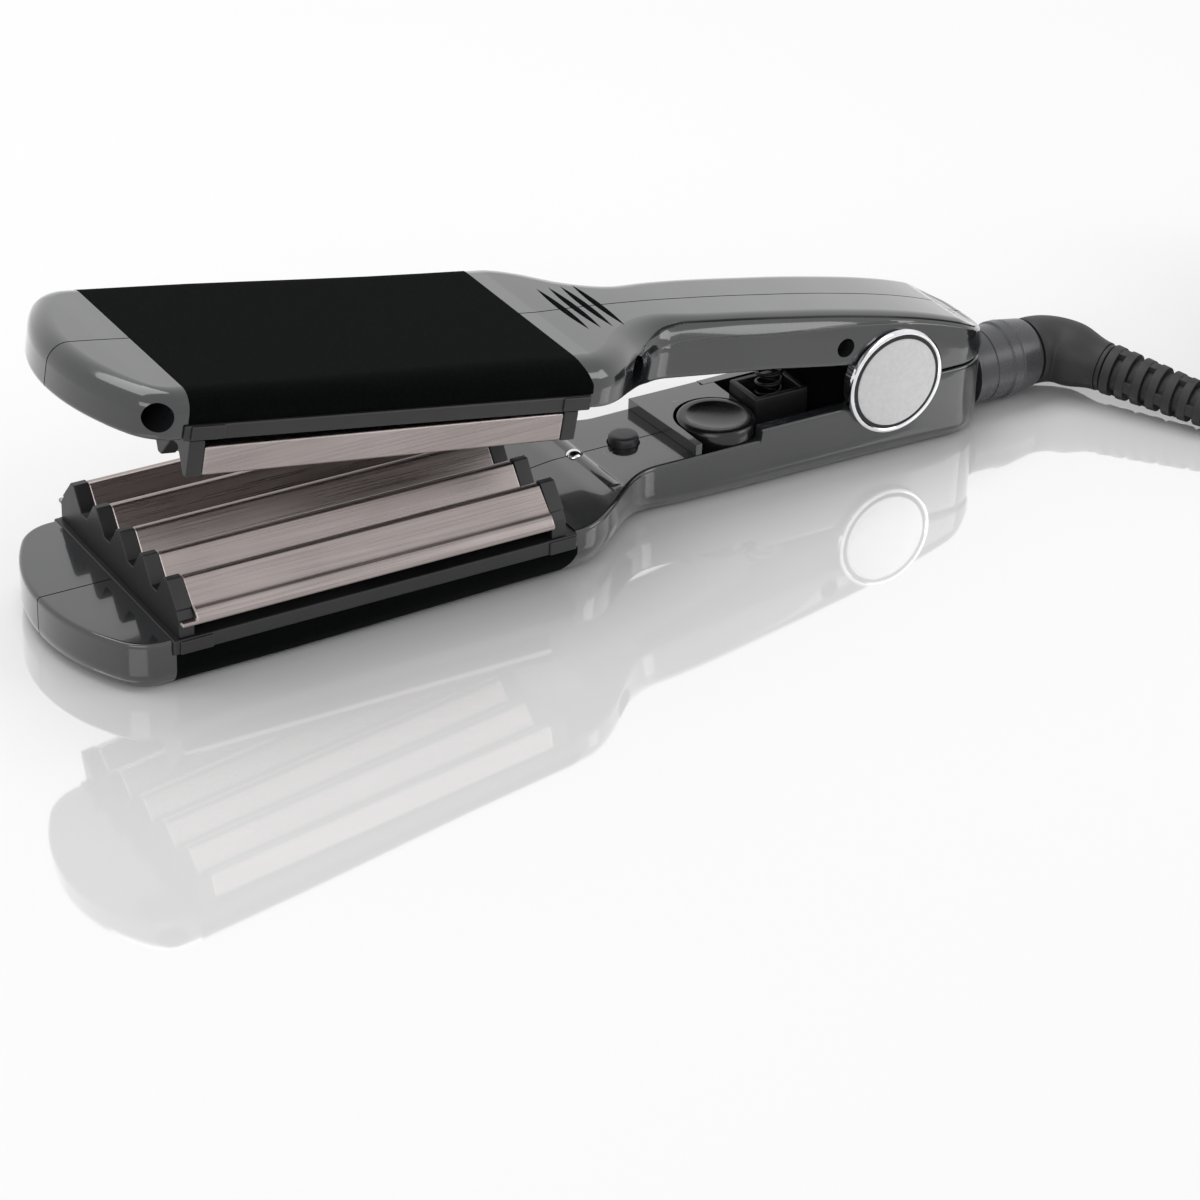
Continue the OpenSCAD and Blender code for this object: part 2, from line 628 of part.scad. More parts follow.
// Push switch under the power button, a capacitor and a relay.
switch_half = 3;
switch_d = 1.8;
switch_nub_h = 0.6;
capacitor_at = [-57, 6.2];
capacitor_d = 6;
component_h = 3.4;
relay_x = [-61, -55.5];
relay_y = [-8.6, -2.6];
module board_components() {
    color("gray") lower() {
        box(-button_x - switch_half, -button_x + switch_half, -switch_half, switch_half, board_h - switch_d,
            board_h);
        h_rod(-button_x, 0, switch_half, board_h - switch_d - switch_nub_h, board_h - switch_d);
        h_rod(capacitor_at.x, capacitor_at.y, capacitor_d, board_h - component_h, board_h);
        box(relay_x[0], relay_x[1], relay_y[0], relay_y[1], board_h - component_h, board_h);
    }
}
module spring_tower() {
    x0 = -spring_x - tower_l / 2;
    x1 = x0 + tower_l;
    half = tower_w / 2;
    t = 1.6;
    color(black) lower() difference() {
        box(x0, x1, -half, half, tower_h, lower_depth - skin);
        box(x0 + t, x1 - t, -half + t, half - t, tower_h - eps, spring_seat_h);
        box(x0 + t, x1 - t, -half + t, half - t, spring_seat_h + 1.5, lower_depth);
    }
}
// Opening spring: one wire whose ends lie flat, from the tower's seat to the upper arm's inner face.
spring_r = (spring_d - spring_wire) / 2;
spring_top = (spring_x - spring_d / 2) * sin(open_deg) + (upper_grip_h - 0.4) * cos(open_deg) - gap;
spring_low = spring_wire / 2 - spring_seat_h;
spring_l = spring_top - spring_wire / 2 - spring_low;
spring_rings = 8;
function spring_point(t) = [spring_r * cos(360 * t), spring_r * sin(360 * t),
    spring_low + spring_l * spring_share(t)];
function spring_share(t) =
    let (dead = 0.9, live = spring_coils - 2 * dead, rest = 0.085,
         u = (t - dead) / live)
    u < 0 ? rest * t / dead : u > 1 ? 1 - rest * (spring_coils - t) / dead : rest + (1 - 2 * rest) * u;
spring_path = [for (i = [0:spring_coils * spring_rings]) spring_point(i / spring_rings)];
module opening_spring() {
    color(steel) translate([x_shift - spring_x, 0, pivot_z]) tube(spring_path, spring_wire / 2, 6);
}
module hinge_pin() { color(steel) lower() y_rod(0, 0, pin_d, -hinge_half - gap, hinge_half + gap); }
ring_in = disc_d / 2 - 2.1;
ring_out = disc_d / 2 - 1.3;
module disc_axis() { rotate([-90, 0, 0]) translate([0, 0, hinge_half + gap]) children(); }
module pivot_caps() {
    r = disc_d / 2;
    color(steel) lower() sides() disc_axis() rotate_extrude() polygon([[0, 0], [r - 0.3, 0], [r, 0.4],
        [r, disc_t - 0.5], [r - 0.4, disc_t], [ring_out, disc_t], [ring_out, disc_t - 0.6],
        [ring_in, disc_t - 0.6], [ring_in, disc_t - 0.1], [ring_in - 3, disc_t], [0, disc_t]]);
}
module pivot_rings() {
    color(black) lower() sides() disc_axis() translate([0, 0, disc_t - 0.6]) difference() {
        cylinder(r = ring_out, h = 0.4);
        translate([0, 0, -eps]) cylinder(r = ring_in, h = 1);
    }
}
collar_end = tail_reach + collar_l;
module cord_collar() {
    r = collar_d / 2;
    ring_x = tail_reach + collar_l * 0.53;
    color(charcoal) lower() swivel_axis() rotate([0, 90, 0]) rotate_extrude() polygon([
        [collar_bore / 2, tail_reach], [r, tail_reach], [r, tail_reach + 0.8], [r - 0.5, tail_reach + 1.2],
        [r - 0.5, ring_x - 0.6], [r, ring_x], [r, ring_x + 2.2], [r - 1.2, collar_end - 0.6],
        [r - 1.6, collar_end], [collar_bore / 2, collar_end]]);
}
slip_d = 9.8;
slip_x = [tail_reach - 11.5, tail_reach - 8.3];
slip_w = 1.8;
brush_t = 1.2;
brush_half = 2;
module brush_block() {
    h0 = swivel_h + slip_d / 2 + 1.1;
    color(black) lower() box(slip_x[0] - 0.6, slip_x[1] + slip_w + 0.6, -5, 5, h0, lower_depth - skin);
}
module brushes() {
    h0 = swivel_h + slip_d / 2 + run_fit;
    color(brass) lower() for (x = slip_x)
        box(x + 0.2, x + slip_w - 0.2, -brush_half, brush_half, h0, h0 + brush_t - fit - run_fit);
}

// Upper arm.
upper_screws_at = [[-tip_screw_x, tip_screw_h, well_d], [-neck_screw_x, neck_screw_h, well_d],
    [-rear_screw_x, rear_screw_h, small_well_d]];
slit_l = 24;
slit_w = 1.9;
slit_step = 3.2;
slit_x = 88;
slits = 4;
// A leaf-shaped slit across the arm: two arcs that meet in points.
module leaf() {
    r = (pow(slit_l / 2, 2) + pow(slit_w / 2, 2)) / slit_w;
    intersection() {
        translate([r - slit_w / 2, 0]) circle(r = r, $fn = 200);
        translate([slit_w / 2 - r, 0]) circle(r = r, $fn = 200);
    }
}
slit_floor = neck_screw_h + well_d / 2 + 0.2;
module upper_casing() {
    eye_in = eye_y;
    lug_space = lower_eye_d / 2 + 0.9;
    difference() {
        union() {
            casing(upper_face, upper_back, head_fall, 14, upper_screws_at, -1);
            sides() y_rod(0, 0, eye_d, eye_in, hinge_half);
        }
        y_rod(0, 0, 2 * lug_space, -eye_in, eye_in);
        box(-lug_space, lug_space, -eye_in, eye_in, -head_w, 0);
        sides() y_rod(0, 0, bush_d, 0, hinge_half + 1);
        for (i = [0:slits - 1]) translate([-slit_x + i * slit_step, 0, slit_floor])
            linear_extrude(head_w) leaf();
    }
}
module upper_right_shell() {
    color(charcoal) upper() intersection() { upper_casing(); near_half(); }
}
module upper_left_shell() {
    color(charcoal) upper() intersection() { upper_casing(); far_half(); }
}
module upper_pad() { color(black) upper() pad_solid(upper_face, upper_back, head_fall); }
module upper_plate_frame() { color(black) upper() falling(head_fall) plate_frame(); }
module upper_plate_carrier() { color(black) upper() plate_carrier(upper_back_h); }
module upper_crimp_plate() {
    color(taupe) upper() along_x(-plate_front, -plate_rear)
        upper_profile(upper_crest, upper_groove_h, upper_back_h, upper_plate_half);
}
module upper_cap(x0, x1) {
    difference() {
        along_x(x0, x1)
            upper_profile(upper_crest - 0.1, upper_groove_h + 0.4, head_face_h, upper_plate_half - 0.1);
        falling(head_fall) box(-nose_reach, 0, -head_w, head_w, head_face_h, 2 * head_face_h);
    }
}
module upper_front_cap() { color(black) upper() upper_cap(-plate_front - cap_t, -plate_front); }
module upper_rear_cap() { color(black) upper() upper_cap(-plate_rear, -plate_rear + cap_t); }
module upper_heater() { color("white") upper() heater(upper_back_h); }
module upper_heater_clamp() { color(steel) upper() heater_clamp(upper_back_h); }
module upper_screws() { color(steel) upper() for (s = upper_screws_at) screw(s, -1); }
fuse_x = [-52, -41];
fuse_h = 12;
fuse_d = 4;
upper_lead_h = 13.95;
neck_lead_x = 64;
boss_lead_x = 85;
carrier_lead_h = 12.9;
grip_lead_x = 36;
rear_lead_x = 22;
module upper_leads() {
    front = [[-neck_lead_x, 0, upper_lead_h], [-boss_lead_x, 0, upper_lead_h],
        [-plate_rear, 0, carrier_lead_h]];
    color("firebrick") upper() {
        lead([for (x = [-rear_lead_x, -grip_lead_x, fuse_x[1]]) [x, lead_y, fuse_h]]);
        lead(concat([for (x = [fuse_x[0], fuse_x[0] - lead_straight]) [x, lead_y, fuse_h]],
            [for (p = front) p + [0, lead_y, 0]]));
        lead(concat([[-rear_lead_x, -lead_y, fuse_h]], [for (p = front) p - [0, lead_y, 0]]));
    }
}
module thermal_fuse() {
    color(steel) upper() translate([0, lead_y, fuse_h]) along_x(fuse_x[0], fuse_x[1]) circle(d = fuse_d);
}
module hinge_bushes() {
    color(brass) upper() sides() difference() {
        y_rod(0, 0, bush_d, eye_y, hinge_half);
        y_rod(0, 0, pin_d + 2 * run_fit, eye_y - 1, hinge_half + 1);
    }
}

// Pieces that move in the lower arm.
module power_button() {
    top = lower_grip_h - button_proud;
    under = lower_grip_h + skin + gap;
    color(charcoal) lower() {
        h_rod(-button_x, 0, button_d, top, under + eps);
        h_rod(-button_x, 0, button_flange_d, under, under + 0.2);
    }
}
module temperature_dial() {
    r = dial_d / 2;
    color(black) lower() translate([-dial_x, -dial_y, 0]) {
        rotate_extrude() polygon([[0, dial_h + 1.4], [5, dial_h + 1.1], [r - 2.6, dial_h], [r - 0.9, dial_h],
            [r, dial_h + 0.9], [r, dial_h + dial_t], [0, dial_h + dial_t]]);
        cylinder(d = stem_d, h = board_h - 1.2);
    }
}

// Swivel: hub with slip rings, elbow, strain relief, cord and plug. Its axis lies along x.
hub_start = tail_reach + 1.3;
elbow_start = collar_end + gap;
elbow_straight = 1.7;
elbow_reach = elbow_start + elbow_straight + elbow_r * sin(elbow_deg) + (relief_d + 0.6) / 2 * sin(elbow_deg)
    + throat_l * cos(elbow_deg);
x_shift = (nose_reach - elbow_reach) / 2;
module on_swivel() { translate([x_shift, 0, swivel_z]) children(); }
module swivel_hub() {
    color(black) on_swivel() {
        along_x(hub_start, elbow_start) circle(d = collar_bore - 2 * run_fit);
        along_x(slip_x[0] - 1.4, hub_start) circle(d = stub_d);
    }
}
clip_x = tail_reach - skin - 1.3;
module swivel_clip() {
    color(steel) on_swivel() along_x(clip_x, clip_x + 1) difference() {
        circle(d = stub_d + 3.4);
        circle(d = stub_d);
    }
}
module slip_rings() {
    color(brass) on_swivel() for (x = slip_x) along_x(x, x + slip_w) difference() {
        circle(d = slip_d);
        circle(d = stub_d);
    }
}
// Frame at the elbow's outlet: z runs along the cord.
module elbow_frame() {
    translate([elbow_start + elbow_straight, 0, 0]) rotate([elbow_roll, 0, 0])
        translate([0, -elbow_r, 0]) rotate([0, 0, -elbow_deg]) translate([0, elbow_r, 0])
            rotate([0, 90, 0]) children();
}
module swivel_elbow() {
    color(black) on_swivel() {
        along_x(elbow_start, elbow_start + elbow_straight) circle(d = elbow_d);
        along_x(elbow_start + gap, elbow_start + elbow_straight + 0.4) circle(d = elbow_d - 0.2);
        translate([elbow_start + elbow_straight, 0, 0]) rotate([elbow_roll, 0, 0])
            translate([0, -elbow_r, 0]) rotate([0, 0, 90 - elbow_deg])
                rotate_extrude(angle = elbow_deg) translate([elbow_r, 0]) circle(d = elbow_d);
        elbow_frame() {
            translate([0, 0, -0.4]) cylinder(d = elbow_d - 0.4, h = 0.8);
            cylinder(d1 = elbow_d, d2 = relief_d + 0.6, h = throat_l);
        }
    }
}
rib_h = 0.7;
module strain_relief() {
    pitch = (relief_l - 6) / relief_ribs;
    function relief_r(z) = mix(relief_d, cord_d + 1.4, z / relief_l) / 2;
    ribs = [for (i = [0:relief_ribs - 1]) let (z = 3 + pitch * i, r = relief_r(z), f = pitch * 0.25)
        each [[r, z], [r + rib_h, z + f * 0.4], [r + rib_h, z + f * 1.8], [r - 0.1, z + f * 2.2]]];
    color(black) on_swivel() elbow_frame() translate([0, 0, throat_l]) rotate_extrude()
        polygon(concat([[0, 0], [relief_r(0), 0]], ribs, [[relief_r(relief_l), relief_l], [0, relief_l]]));
}

// Cord. Its free stretch is a chain of points chosen by hand, and its coil winds in and out in layers.
cord_r = cord_d / 2;
cord_low_z = cord_r + tie_t + 0.2;
run_points = [[157.3, -51.6, 4.9], [159.0, -55.0, 4.6], [160.6, -58.2, 4.4], [163.2, -62.0, 4.3],
    [166.2, -66.0, 4.3], [169.6, -70.0, 4.4], [173.2, -73.8, 4.5], [177.0, -77.3, 4.6], [181.0, -80.5, 4.7],
    [185.2, -83.4, 4.8], [189.6, -86.0, 4.9], [194.2, -88.4, 4.9], [199.0, -90.6, 4.9], [203.8, -92.6, 4.9]];
coil_centre = [224, -47];
coil_start_deg = -100;
coil_layers = 4;
coil_turns = 2.4;
coil_out_r = coil_in_r + coil_pitch * coil_turns;
coil_rings = 24;
climb = 0.5;
last_turn = 0.65;
coil_end = coil_layers * coil_turns + last_turn;
plug_turn_r = 30;
plug_turn_deg = 40;
function coil_r(t) =
    let (u = t / coil_turns, k = floor(u), f = u - k)
    k % 2 == 0 ? coil_out_r - (coil_out_r - coil_in_r) * f : coil_in_r + (coil_out_r - coil_in_r) * f;
function coil_layer(t) = [for (k = [1:coil_layers]) ease((t - k * coil_turns) / climb + 0.5)] * ones;
ones = [for (k = [1:coil_layers]) 1];
plug_lift = 1.5;
plug_z = cord_low_z + (coil_layers - 1) * coil_pitch + cord_r + plug_t / 2 + plug_lift;
plug_rise = plug_z - cord_low_z - coil_layers * coil_pitch;
function coil_z(t) = cord_low_z + coil_pitch * coil_layer(t) + plug_rise * ease((t - coil_end) / 0.4 + 1);
function coil_point(t) =
    let (a = coil_start_deg + 360 * t)
    [coil_centre.x + coil_r(t) * cos(a), coil_centre.y + coil_r(t) * sin(a), coil_z(t)];
leave_deg = coil_start_deg + 360 * coil_end;
leave = coil_point(coil_end);
turn_centre = [leave.x - plug_turn_r * cos(leave_deg), leave.y - plug_turn_r * sin(leave_deg), plug_z];
function turn_point(a) =
    turn_centre + plug_turn_r * [cos(leave_deg + a), sin(leave_deg + a), 0];
plug_deg = leave_deg + plug_turn_deg + 90;
plug_dir = [cos(plug_deg), sin(plug_deg), 0];
coil_stop = turn_point(plug_turn_deg) + cord_d * plug_dir;
plug_at = coil_stop + fit * plug_dir;
entry = coil_point(0);
entry_dir = [-sin(coil_start_deg), cos(coil_start_deg), 0];
coil_start = entry - cord_d * entry_dir;
run_path = concat(run_points, [for (d = [2, fit]) coil_start - d * entry_dir]);
coil_path = concat([coil_start], [for (i = [0:coil_end * coil_rings]) coil_point(i / coil_rings)],
    [for (a = [10:10:plug_turn_deg]) turn_point(a)], [coil_stop]);

// A tube along a path, with rings square to it.
function direction(p, i) = let (v = p[min(i + 1, len(p) - 1)] - p[max(i - 1, 0)]) v / norm(v);
module tube(path, r, n) {
    count = len(path);
    points = [for (i = [0:count - 1])
        let (d = direction(path, i), s = cross(d, [0, 0, 1]) / norm(cross(d, [0, 0, 1])), u = cross(s, d))
        for (k = [0:n - 1]) path[i] + r * (cos(360 * k / n) * s + sin(360 * k / n) * u)];
    skin_faces = [for (i = [0:count - 2], k = [0:n - 1])
        let (a = i * n + k, b = i * n + (k + 1) % n)
        each [[a, a + n, b + n], [a, b + n, b]]];
    ends = [for (k = [1:n - 2]) each [[0, k, k + 1],
        [(count - 1) * n, (count - 1) * n + k + 1, (count - 1) * n + k]]];
    polyhedron(points, concat(skin_faces, ends));
}
function path_length(p) = [for (i = [1:len(p) - 1]) norm(p[i] - p[i - 1])]
    * [for (i = [1:len(p) - 1]) 1];
function least_gap(p, skip, d) = min([for (i = [0:len(p) - 1])
    min([d * 9, for (j = [i + skip:len(p) - 1]) norm(p[i] - p[j])])]) - d;
echo(coil_least_gap = least_gap(coil_path, coil_rings / 2, cord_d));
echo(spring_least_gap = least_gap(spring_path, spring_rings / 2, spring_wire));
echo(cord_length = path_length(run_path) + path_length(coil_path), plug_at = plug_at, x_shift = x_shift);

module cord_run() { color(black) tube(run_path, cord_r, 10); }
module cord_coil() { color(black) tube(coil_path, cord_r, 6); }
tie_deg = 200;
module tie_section(t) {
    lo = cord_low_z - cord_r - 0.2 - t;
    in_r = coil_in_r - cord_r - 0.6 - t;
    out_r = coil_out_r + cord_r + 0.4 + t;
    top = cord_low_z + cord_r + (coil_layers - 1) * coil_pitch + 0.4 + t;
    hump = top + coil_pitch + 0.2;
    polygon([[in_r, lo], [out_r, lo], [out_r, hump - 2], [out_r - 2, hump],
        [out_r - 2 * cord_r - 3.5 - 2 * t, hump], [in_r, top]]);
}
module cord_tie() {
    color(black) translate([coil_centre.x, coil_centre.y, 0]) rotate([0, 0, tie_deg])
        along_y(-tie_w / 2, tie_w / 2) difference() {
            tie_section(tie_t);
            tie_section(0);
        }
}
module plug_frame() { translate(plug_at) rotate([0, 0, plug_deg]) children(); }
module plug_body() {
    neck = 5.4;
    color(black) plug_frame() intersection() {
        translate([0, 0, -plug_t / 2]) linear_extrude(plug_t) polygon([[0, -neck], [9, -neck - 0.6],
            [15, -plug_w / 2 + 4], [19, -plug_w / 2 + 0.6], [plug_l, -plug_w / 2], [plug_l, plug_w / 2],
            [19, plug_w / 2 - 0.6], [15, plug_w / 2 - 4], [9, neck + 0.6], [0, neck]]);
        along_y(-plug_w, plug_w) polygon([[0, -neck], [9, -neck - 0.5], [17, -plug_t / 2],
            [plug_l - 1, -plug_t / 2], [plug_l, -plug_t / 2 + 1], [plug_l, plug_t / 2 - 1],
            [plug_l - 1, plug_t / 2], [17, plug_t / 2], [9, neck + 0.5], [0, neck]]);
    }
}
module plug_pins() {
    tip = plug_pin_d / 2;
    color(steel) plug_frame() for (y = [-plug_pin_gap / 2, plug_pin_gap / 2]) translate([0, y, 0]) {
        along_x(plug_l, plug_l + plug_pin_l - tip) circle(d = plug_pin_d);
        translate([plug_l + plug_pin_l - tip, 0, 0]) sphere(r = tip);
    }
}

lower_right_shell();
lower_left_shell();
lower_pad();
lower_plate_frame();
lower_plate_carrier();
lower_crimp_plate();
lower_front_cap();
lower_rear_cap();
lower_heater();
lower_heater_clamp();
lower_screws();
lower_leads();
indicator_lens();
dial_panel();
dial_potentiometer();
circuit_board();
board_components();
spring_tower();
opening_spring();
hinge_pin();
pivot_caps();
pivot_rings();
cord_collar();
brush_block();
brushes();
upper_right_shell();
upper_left_shell();
upper_pad();
upper_plate_frame();
upper_plate_carrier();
upper_crimp_plate();
upper_front_cap();
upper_rear_cap();
upper_heater();
upper_heater_clamp();
upper_screws();
upper_leads();
thermal_fuse();
hinge_bushes();
power_button();
temperature_dial();
swivel_hub();
swivel_clip();
slip_rings();
swivel_elbow();
strain_relief();
cord_run();
cord_coil();
cord_tie();
plug_body();
plug_pins();
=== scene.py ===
# %% [markdown]
# # A hair crimper
# The tool has two arms on one hinge. Each arm carries a ridged metal plate in a wide head, and the
# heads wear black flocked pads so that they can be touched. The lower arm also holds a lamp, a power
# button and a heat dial, and a long cord leaves it through a swivel.
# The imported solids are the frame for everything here. They say where each part is and how it moves,
# and each cell puts a finer piece or a finish on one of them.

# %% Load the frame
import json
import math

import bmesh
import bpy
from mathutils import Matrix, Vector


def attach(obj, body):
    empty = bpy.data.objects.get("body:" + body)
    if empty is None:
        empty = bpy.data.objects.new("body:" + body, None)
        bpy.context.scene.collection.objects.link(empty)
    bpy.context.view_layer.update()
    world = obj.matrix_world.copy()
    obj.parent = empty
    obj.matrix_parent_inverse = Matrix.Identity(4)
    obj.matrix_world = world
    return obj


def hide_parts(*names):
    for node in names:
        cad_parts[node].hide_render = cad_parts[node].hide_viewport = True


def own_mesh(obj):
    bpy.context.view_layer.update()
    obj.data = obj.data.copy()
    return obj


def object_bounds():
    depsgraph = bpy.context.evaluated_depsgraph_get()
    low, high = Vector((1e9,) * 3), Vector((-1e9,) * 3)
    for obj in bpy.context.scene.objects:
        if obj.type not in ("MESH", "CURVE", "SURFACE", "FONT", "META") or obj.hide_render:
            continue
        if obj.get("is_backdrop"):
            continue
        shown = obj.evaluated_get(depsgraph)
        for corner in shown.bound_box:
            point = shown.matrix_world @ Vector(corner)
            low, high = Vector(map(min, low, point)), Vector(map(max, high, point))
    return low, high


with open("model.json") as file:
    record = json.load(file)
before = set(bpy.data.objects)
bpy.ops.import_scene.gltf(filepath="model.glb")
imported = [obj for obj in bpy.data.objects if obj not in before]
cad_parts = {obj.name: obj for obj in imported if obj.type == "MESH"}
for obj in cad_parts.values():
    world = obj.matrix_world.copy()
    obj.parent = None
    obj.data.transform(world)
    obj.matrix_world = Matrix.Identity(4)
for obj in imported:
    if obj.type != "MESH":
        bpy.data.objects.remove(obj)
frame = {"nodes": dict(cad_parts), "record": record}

cad_low, cad_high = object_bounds()
MM = 0.001

# %% [markdown]
# ## Camera
# The camera stands to the left of the tip and looks down by about 30 degrees. A long lens keeps the
# arms from converging much. Its axes are worked out from three angles, without a constraint.

# %% Camera
def add_object(name, data):
    """Puts an object that shows this data into the scene."""
    added = bpy.data.objects.new(name, data)
    bpy.context.scene.collection.objects.link(added)
    return added


azimuth, elevation, roll = (math.radians(a) for a in (-32.21, 30.19, 2.05))
target = Vector((1.13, 0, -28.38)) * MM
distance = 940.8 * MM
backward = Vector((math.sin(azimuth) * math.cos(elevation),
                   -math.cos(azimuth) * math.cos(elevation), math.sin(elevation)))
level = Vector((math.cos(azimuth), math.sin(azimuth), 0))
upward = backward.cross(level)
axes = Matrix((math.cos(roll) * level + math.sin(roll) * upward,
               math.cos(roll) * upward - math.sin(roll) * level, backward)).transposed()
camera = add_object("camera", bpy.data.cameras.new("camera"))
camera.data.lens = 116.85
camera.matrix_world = Matrix.Translation(target + backward * distance) @ axes.to_4x4()
bpy.context.scene.camera = camera
print("camera at", [round(v, 3) for v in camera.matrix_world.translation])

# %% [markdown]
# ## The arms' own frames
# Every piece of an arm is drawn where it is easy to think about: x runs along the arm from the hinge
# axis, y across it, and h outwards from the hinge plane, all in millimetres. A matrix then sets it in
# place. The lower arm is that frame turned upside down, and the upper arm is tilted open.

# %% Frames of the arms and of the swivel
X_SHIFT, PIVOT_Z, SWIVEL_Z, OPEN_DEG = 72.4324, 21.4, 9.9, 8.6
SCALE = Matrix.Scale(MM, 4)
ACROSS = Matrix.Rotation(-math.pi / 2, 4, "X")
ALONG = Matrix.Rotation(math.pi / 2, 4, "Y")
LOWER = SCALE @ Matrix.Translation((X_SHIFT, 0, PIVOT_Z)) @ Matrix.Diagonal((1, 1, -1, 1))
UPPER = (SCALE @ Matrix.Translation((X_SHIFT, 0, PIVOT_Z))
         @ Matrix.Rotation(math.radians(OPEN_DEG), 4, "Y"))
SWIVEL = SCALE @ Matrix.Translation((X_SHIFT, 0, SWIVEL_Z))
ELBOW_START, ELBOW_STRAIGHT, ELBOW_R, ELBOW_DEG, ELBOW_ROLL = 52.3, 1.7, 9, 64, 5.5


def bend(share):
    """The frame at a share of the elbow's bend, with z along the cord."""
    return (Matrix.Translation((ELBOW_START + ELBOW_STRAIGHT, 0, 0))
            @ Matrix.Rotation(math.radians(ELBOW_ROLL), 4, "X")
            @ Matrix.Translation((0, -ELBOW_R, 0))
            @ Matrix.Rotation(math.radians(-ELBOW_DEG * share), 4, "Z")
            @ Matrix.Translation((0, ELBOW_R, 0)) @ ALONG)


OUTLET = SWIVEL @ bend(1)
print("cord side of the elbow at", [round(v * 1000, 1) for v in OUTLET.translation])

# %% [markdown]
# ## Making pieces
# A bmesh is a mesh under construction. `make` turns one into an object: it places it, turns its faces
# outwards, shades it smooth except at real edges, hangs it on the empty of the body it rides on, hides
# the solids it stands for and gives it its finish. A bevel modifier rounds the edges that moulding or
# pressing would round, and weighted normals keep the flats flat in reflections.

# %% Helpers that turn a bmesh into a piece
def mesh_of(name, bm):
    """A mesh with the bmesh's content. The bmesh is used up."""
    mesh = bpy.data.meshes.new(name)
    bm.to_mesh(mesh)
    bm.free()
    return mesh


def make(name, bm, place, body, replaces, finish, bevel=0, segments=3, sharp=32):
    if place is not None:
        bmesh.ops.transform(bm, matrix=place, verts=bm.verts)
        if place.determinant() < 0:
            bmesh.ops.reverse_faces(bm, faces=bm.faces)
    mesh = mesh_of(name, bm)
    mesh.materials.append(finish)
    mesh.shade_smooth()
    mesh.set_sharp_from_angle(angle=math.radians(sharp))
    piece = add_object(name, mesh)
    if bevel:
        rounding = piece.modifiers.new("rounding", "BEVEL")
        rounding.width, rounding.segments = bevel * MM, segments
        rounding.limit_method, rounding.angle_limit = "ANGLE", math.radians(sharp)
    normals = piece.modifiers.new("even_normals", "WEIGHTED_NORMAL")
    normals.keep_sharp = not bevel
    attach(piece, body)
    if replaces:
        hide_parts(*replaces)
    print(f"{piece.name}: {len(mesh.polygons)} faces on {body}")
    return piece


def merged_copy(node):
    """A copy of a solid's mesh with its loose triangles joined and its flats made whole."""
    bm = bmesh.new()
    bm.from_mesh(frame["nodes"][node].data)
    bmesh.ops.remove_doubles(bm, verts=bm.verts, dist=1e-6)
    bmesh.ops.dissolve_limit(bm, angle_limit=math.radians(0.5), verts=bm.verts, edges=bm.edges)
    return bm


BODY_OF = {node: body for body, nodes in frame["record"]["behaviour"]["bodies"].items()
           for node in nodes}


def soften(node, finish, bevel, segments=3, sharp=32):
    """A piece that keeps a solid's shape and rounds its edges."""
    return make(node + "_rounded", merged_copy(node), None, BODY_OF[node], [node],
                finish, bevel, segments, sharp)


# %% Helpers that shape a bmesh
def lathe(profile, steps=96):
    """Turns a profile of (radius, height) about the z axis."""
    bm = bmesh.new()
    points = [bm.verts.new((r, 0, z)) for r, z in profile]
    lines = [bm.edges.new(pair) for pair in zip(points, points[1:])]
    bmesh.ops.spin(bm, geom=points + lines, cent=(0, 0, 0), axis=(0, 0, 1), angle=math.tau,
                   steps=steps, use_merge=True)
    bmesh.ops.remove_doubles(bm, verts=bm.verts, dist=1e-4)
    bmesh.ops.recalc_face_normals(bm, faces=bm.faces)
    return bm


def block(x0, x1, y0, y1, h0, h1):
    bm = bmesh.new()
    bmesh.ops.create_cube(bm, size=1)
    bmesh.ops.scale(bm, vec=(x1 - x0, y1 - y0, h1 - h0), verts=bm.verts)
    bmesh.ops.translate(bm, vec=((x0 + x1) / 2, (y0 + y1) / 2, (h0 + h1) / 2), verts=bm.verts)
    return bm


def verts_in(geometry):
    return [g for g in geometry if isinstance(g, bmesh.types.BMVert)]


def edges_in(geometry):
    return [g for g in geometry if isinstance(g, bmesh.types.BMEdge)]


def thicken(bm, depth):
    """Raises flat faces by a depth, which makes closed bodies of them."""
    raised = bmesh.ops.extrude_face_region(bm, geom=bm.faces[:])["geom"]
    bmesh.ops.translate(bm, vec=(0, 0, depth), verts=verts_in(raised))
    bmesh.ops.recalc_face_normals(bm, faces=bm.faces)


def slab(outline, depth):
    """Raises a flat outline of (x, y) points by a depth."""
    bm = bmesh.new()
    bm.faces.new([bm.verts.new((x, y, 0)) for x, y in outline])
    thicken(bm, depth)
    return bm


def pillar(x, y, radius, h0, h1, steps=64):
    bm = bmesh.new()
    bmesh.ops.create_cone(bm, cap_ends=True, segments=steps, radius1=radius, radius2=radius,
                          depth=h1 - h0)
    bmesh.ops.translate(bm, vec=(x, y, (h0 + h1) / 2), verts=bm.verts)
    return bm


def bar(x, h, radius, y0, y1, steps):
    """A cylinder across the arm, from y0 to y1."""
    bm = pillar(0, 0, radius, y0, y1, steps)
    bmesh.ops.transform(bm, matrix=Matrix.Translation((x, 0, h)) @ ACROSS, verts=bm.verts)
    return bm


def together(*parts):
    """One bmesh of several that don't touch."""
    whole = bmesh.new()
    for part in parts:
        mesh = mesh_of("part", part)
        whole.from_mesh(mesh)
        bpy.data.meshes.remove(mesh)
    return whole


def mirrored(bm):
    """The same shape on the other side of the arm's middle."""
    copy = bm.copy()
    bmesh.ops.scale(copy, vec=(1, -1, 1), verts=copy.verts)
    bmesh.ops.reverse_faces(copy, faces=copy.faces)
    return copy


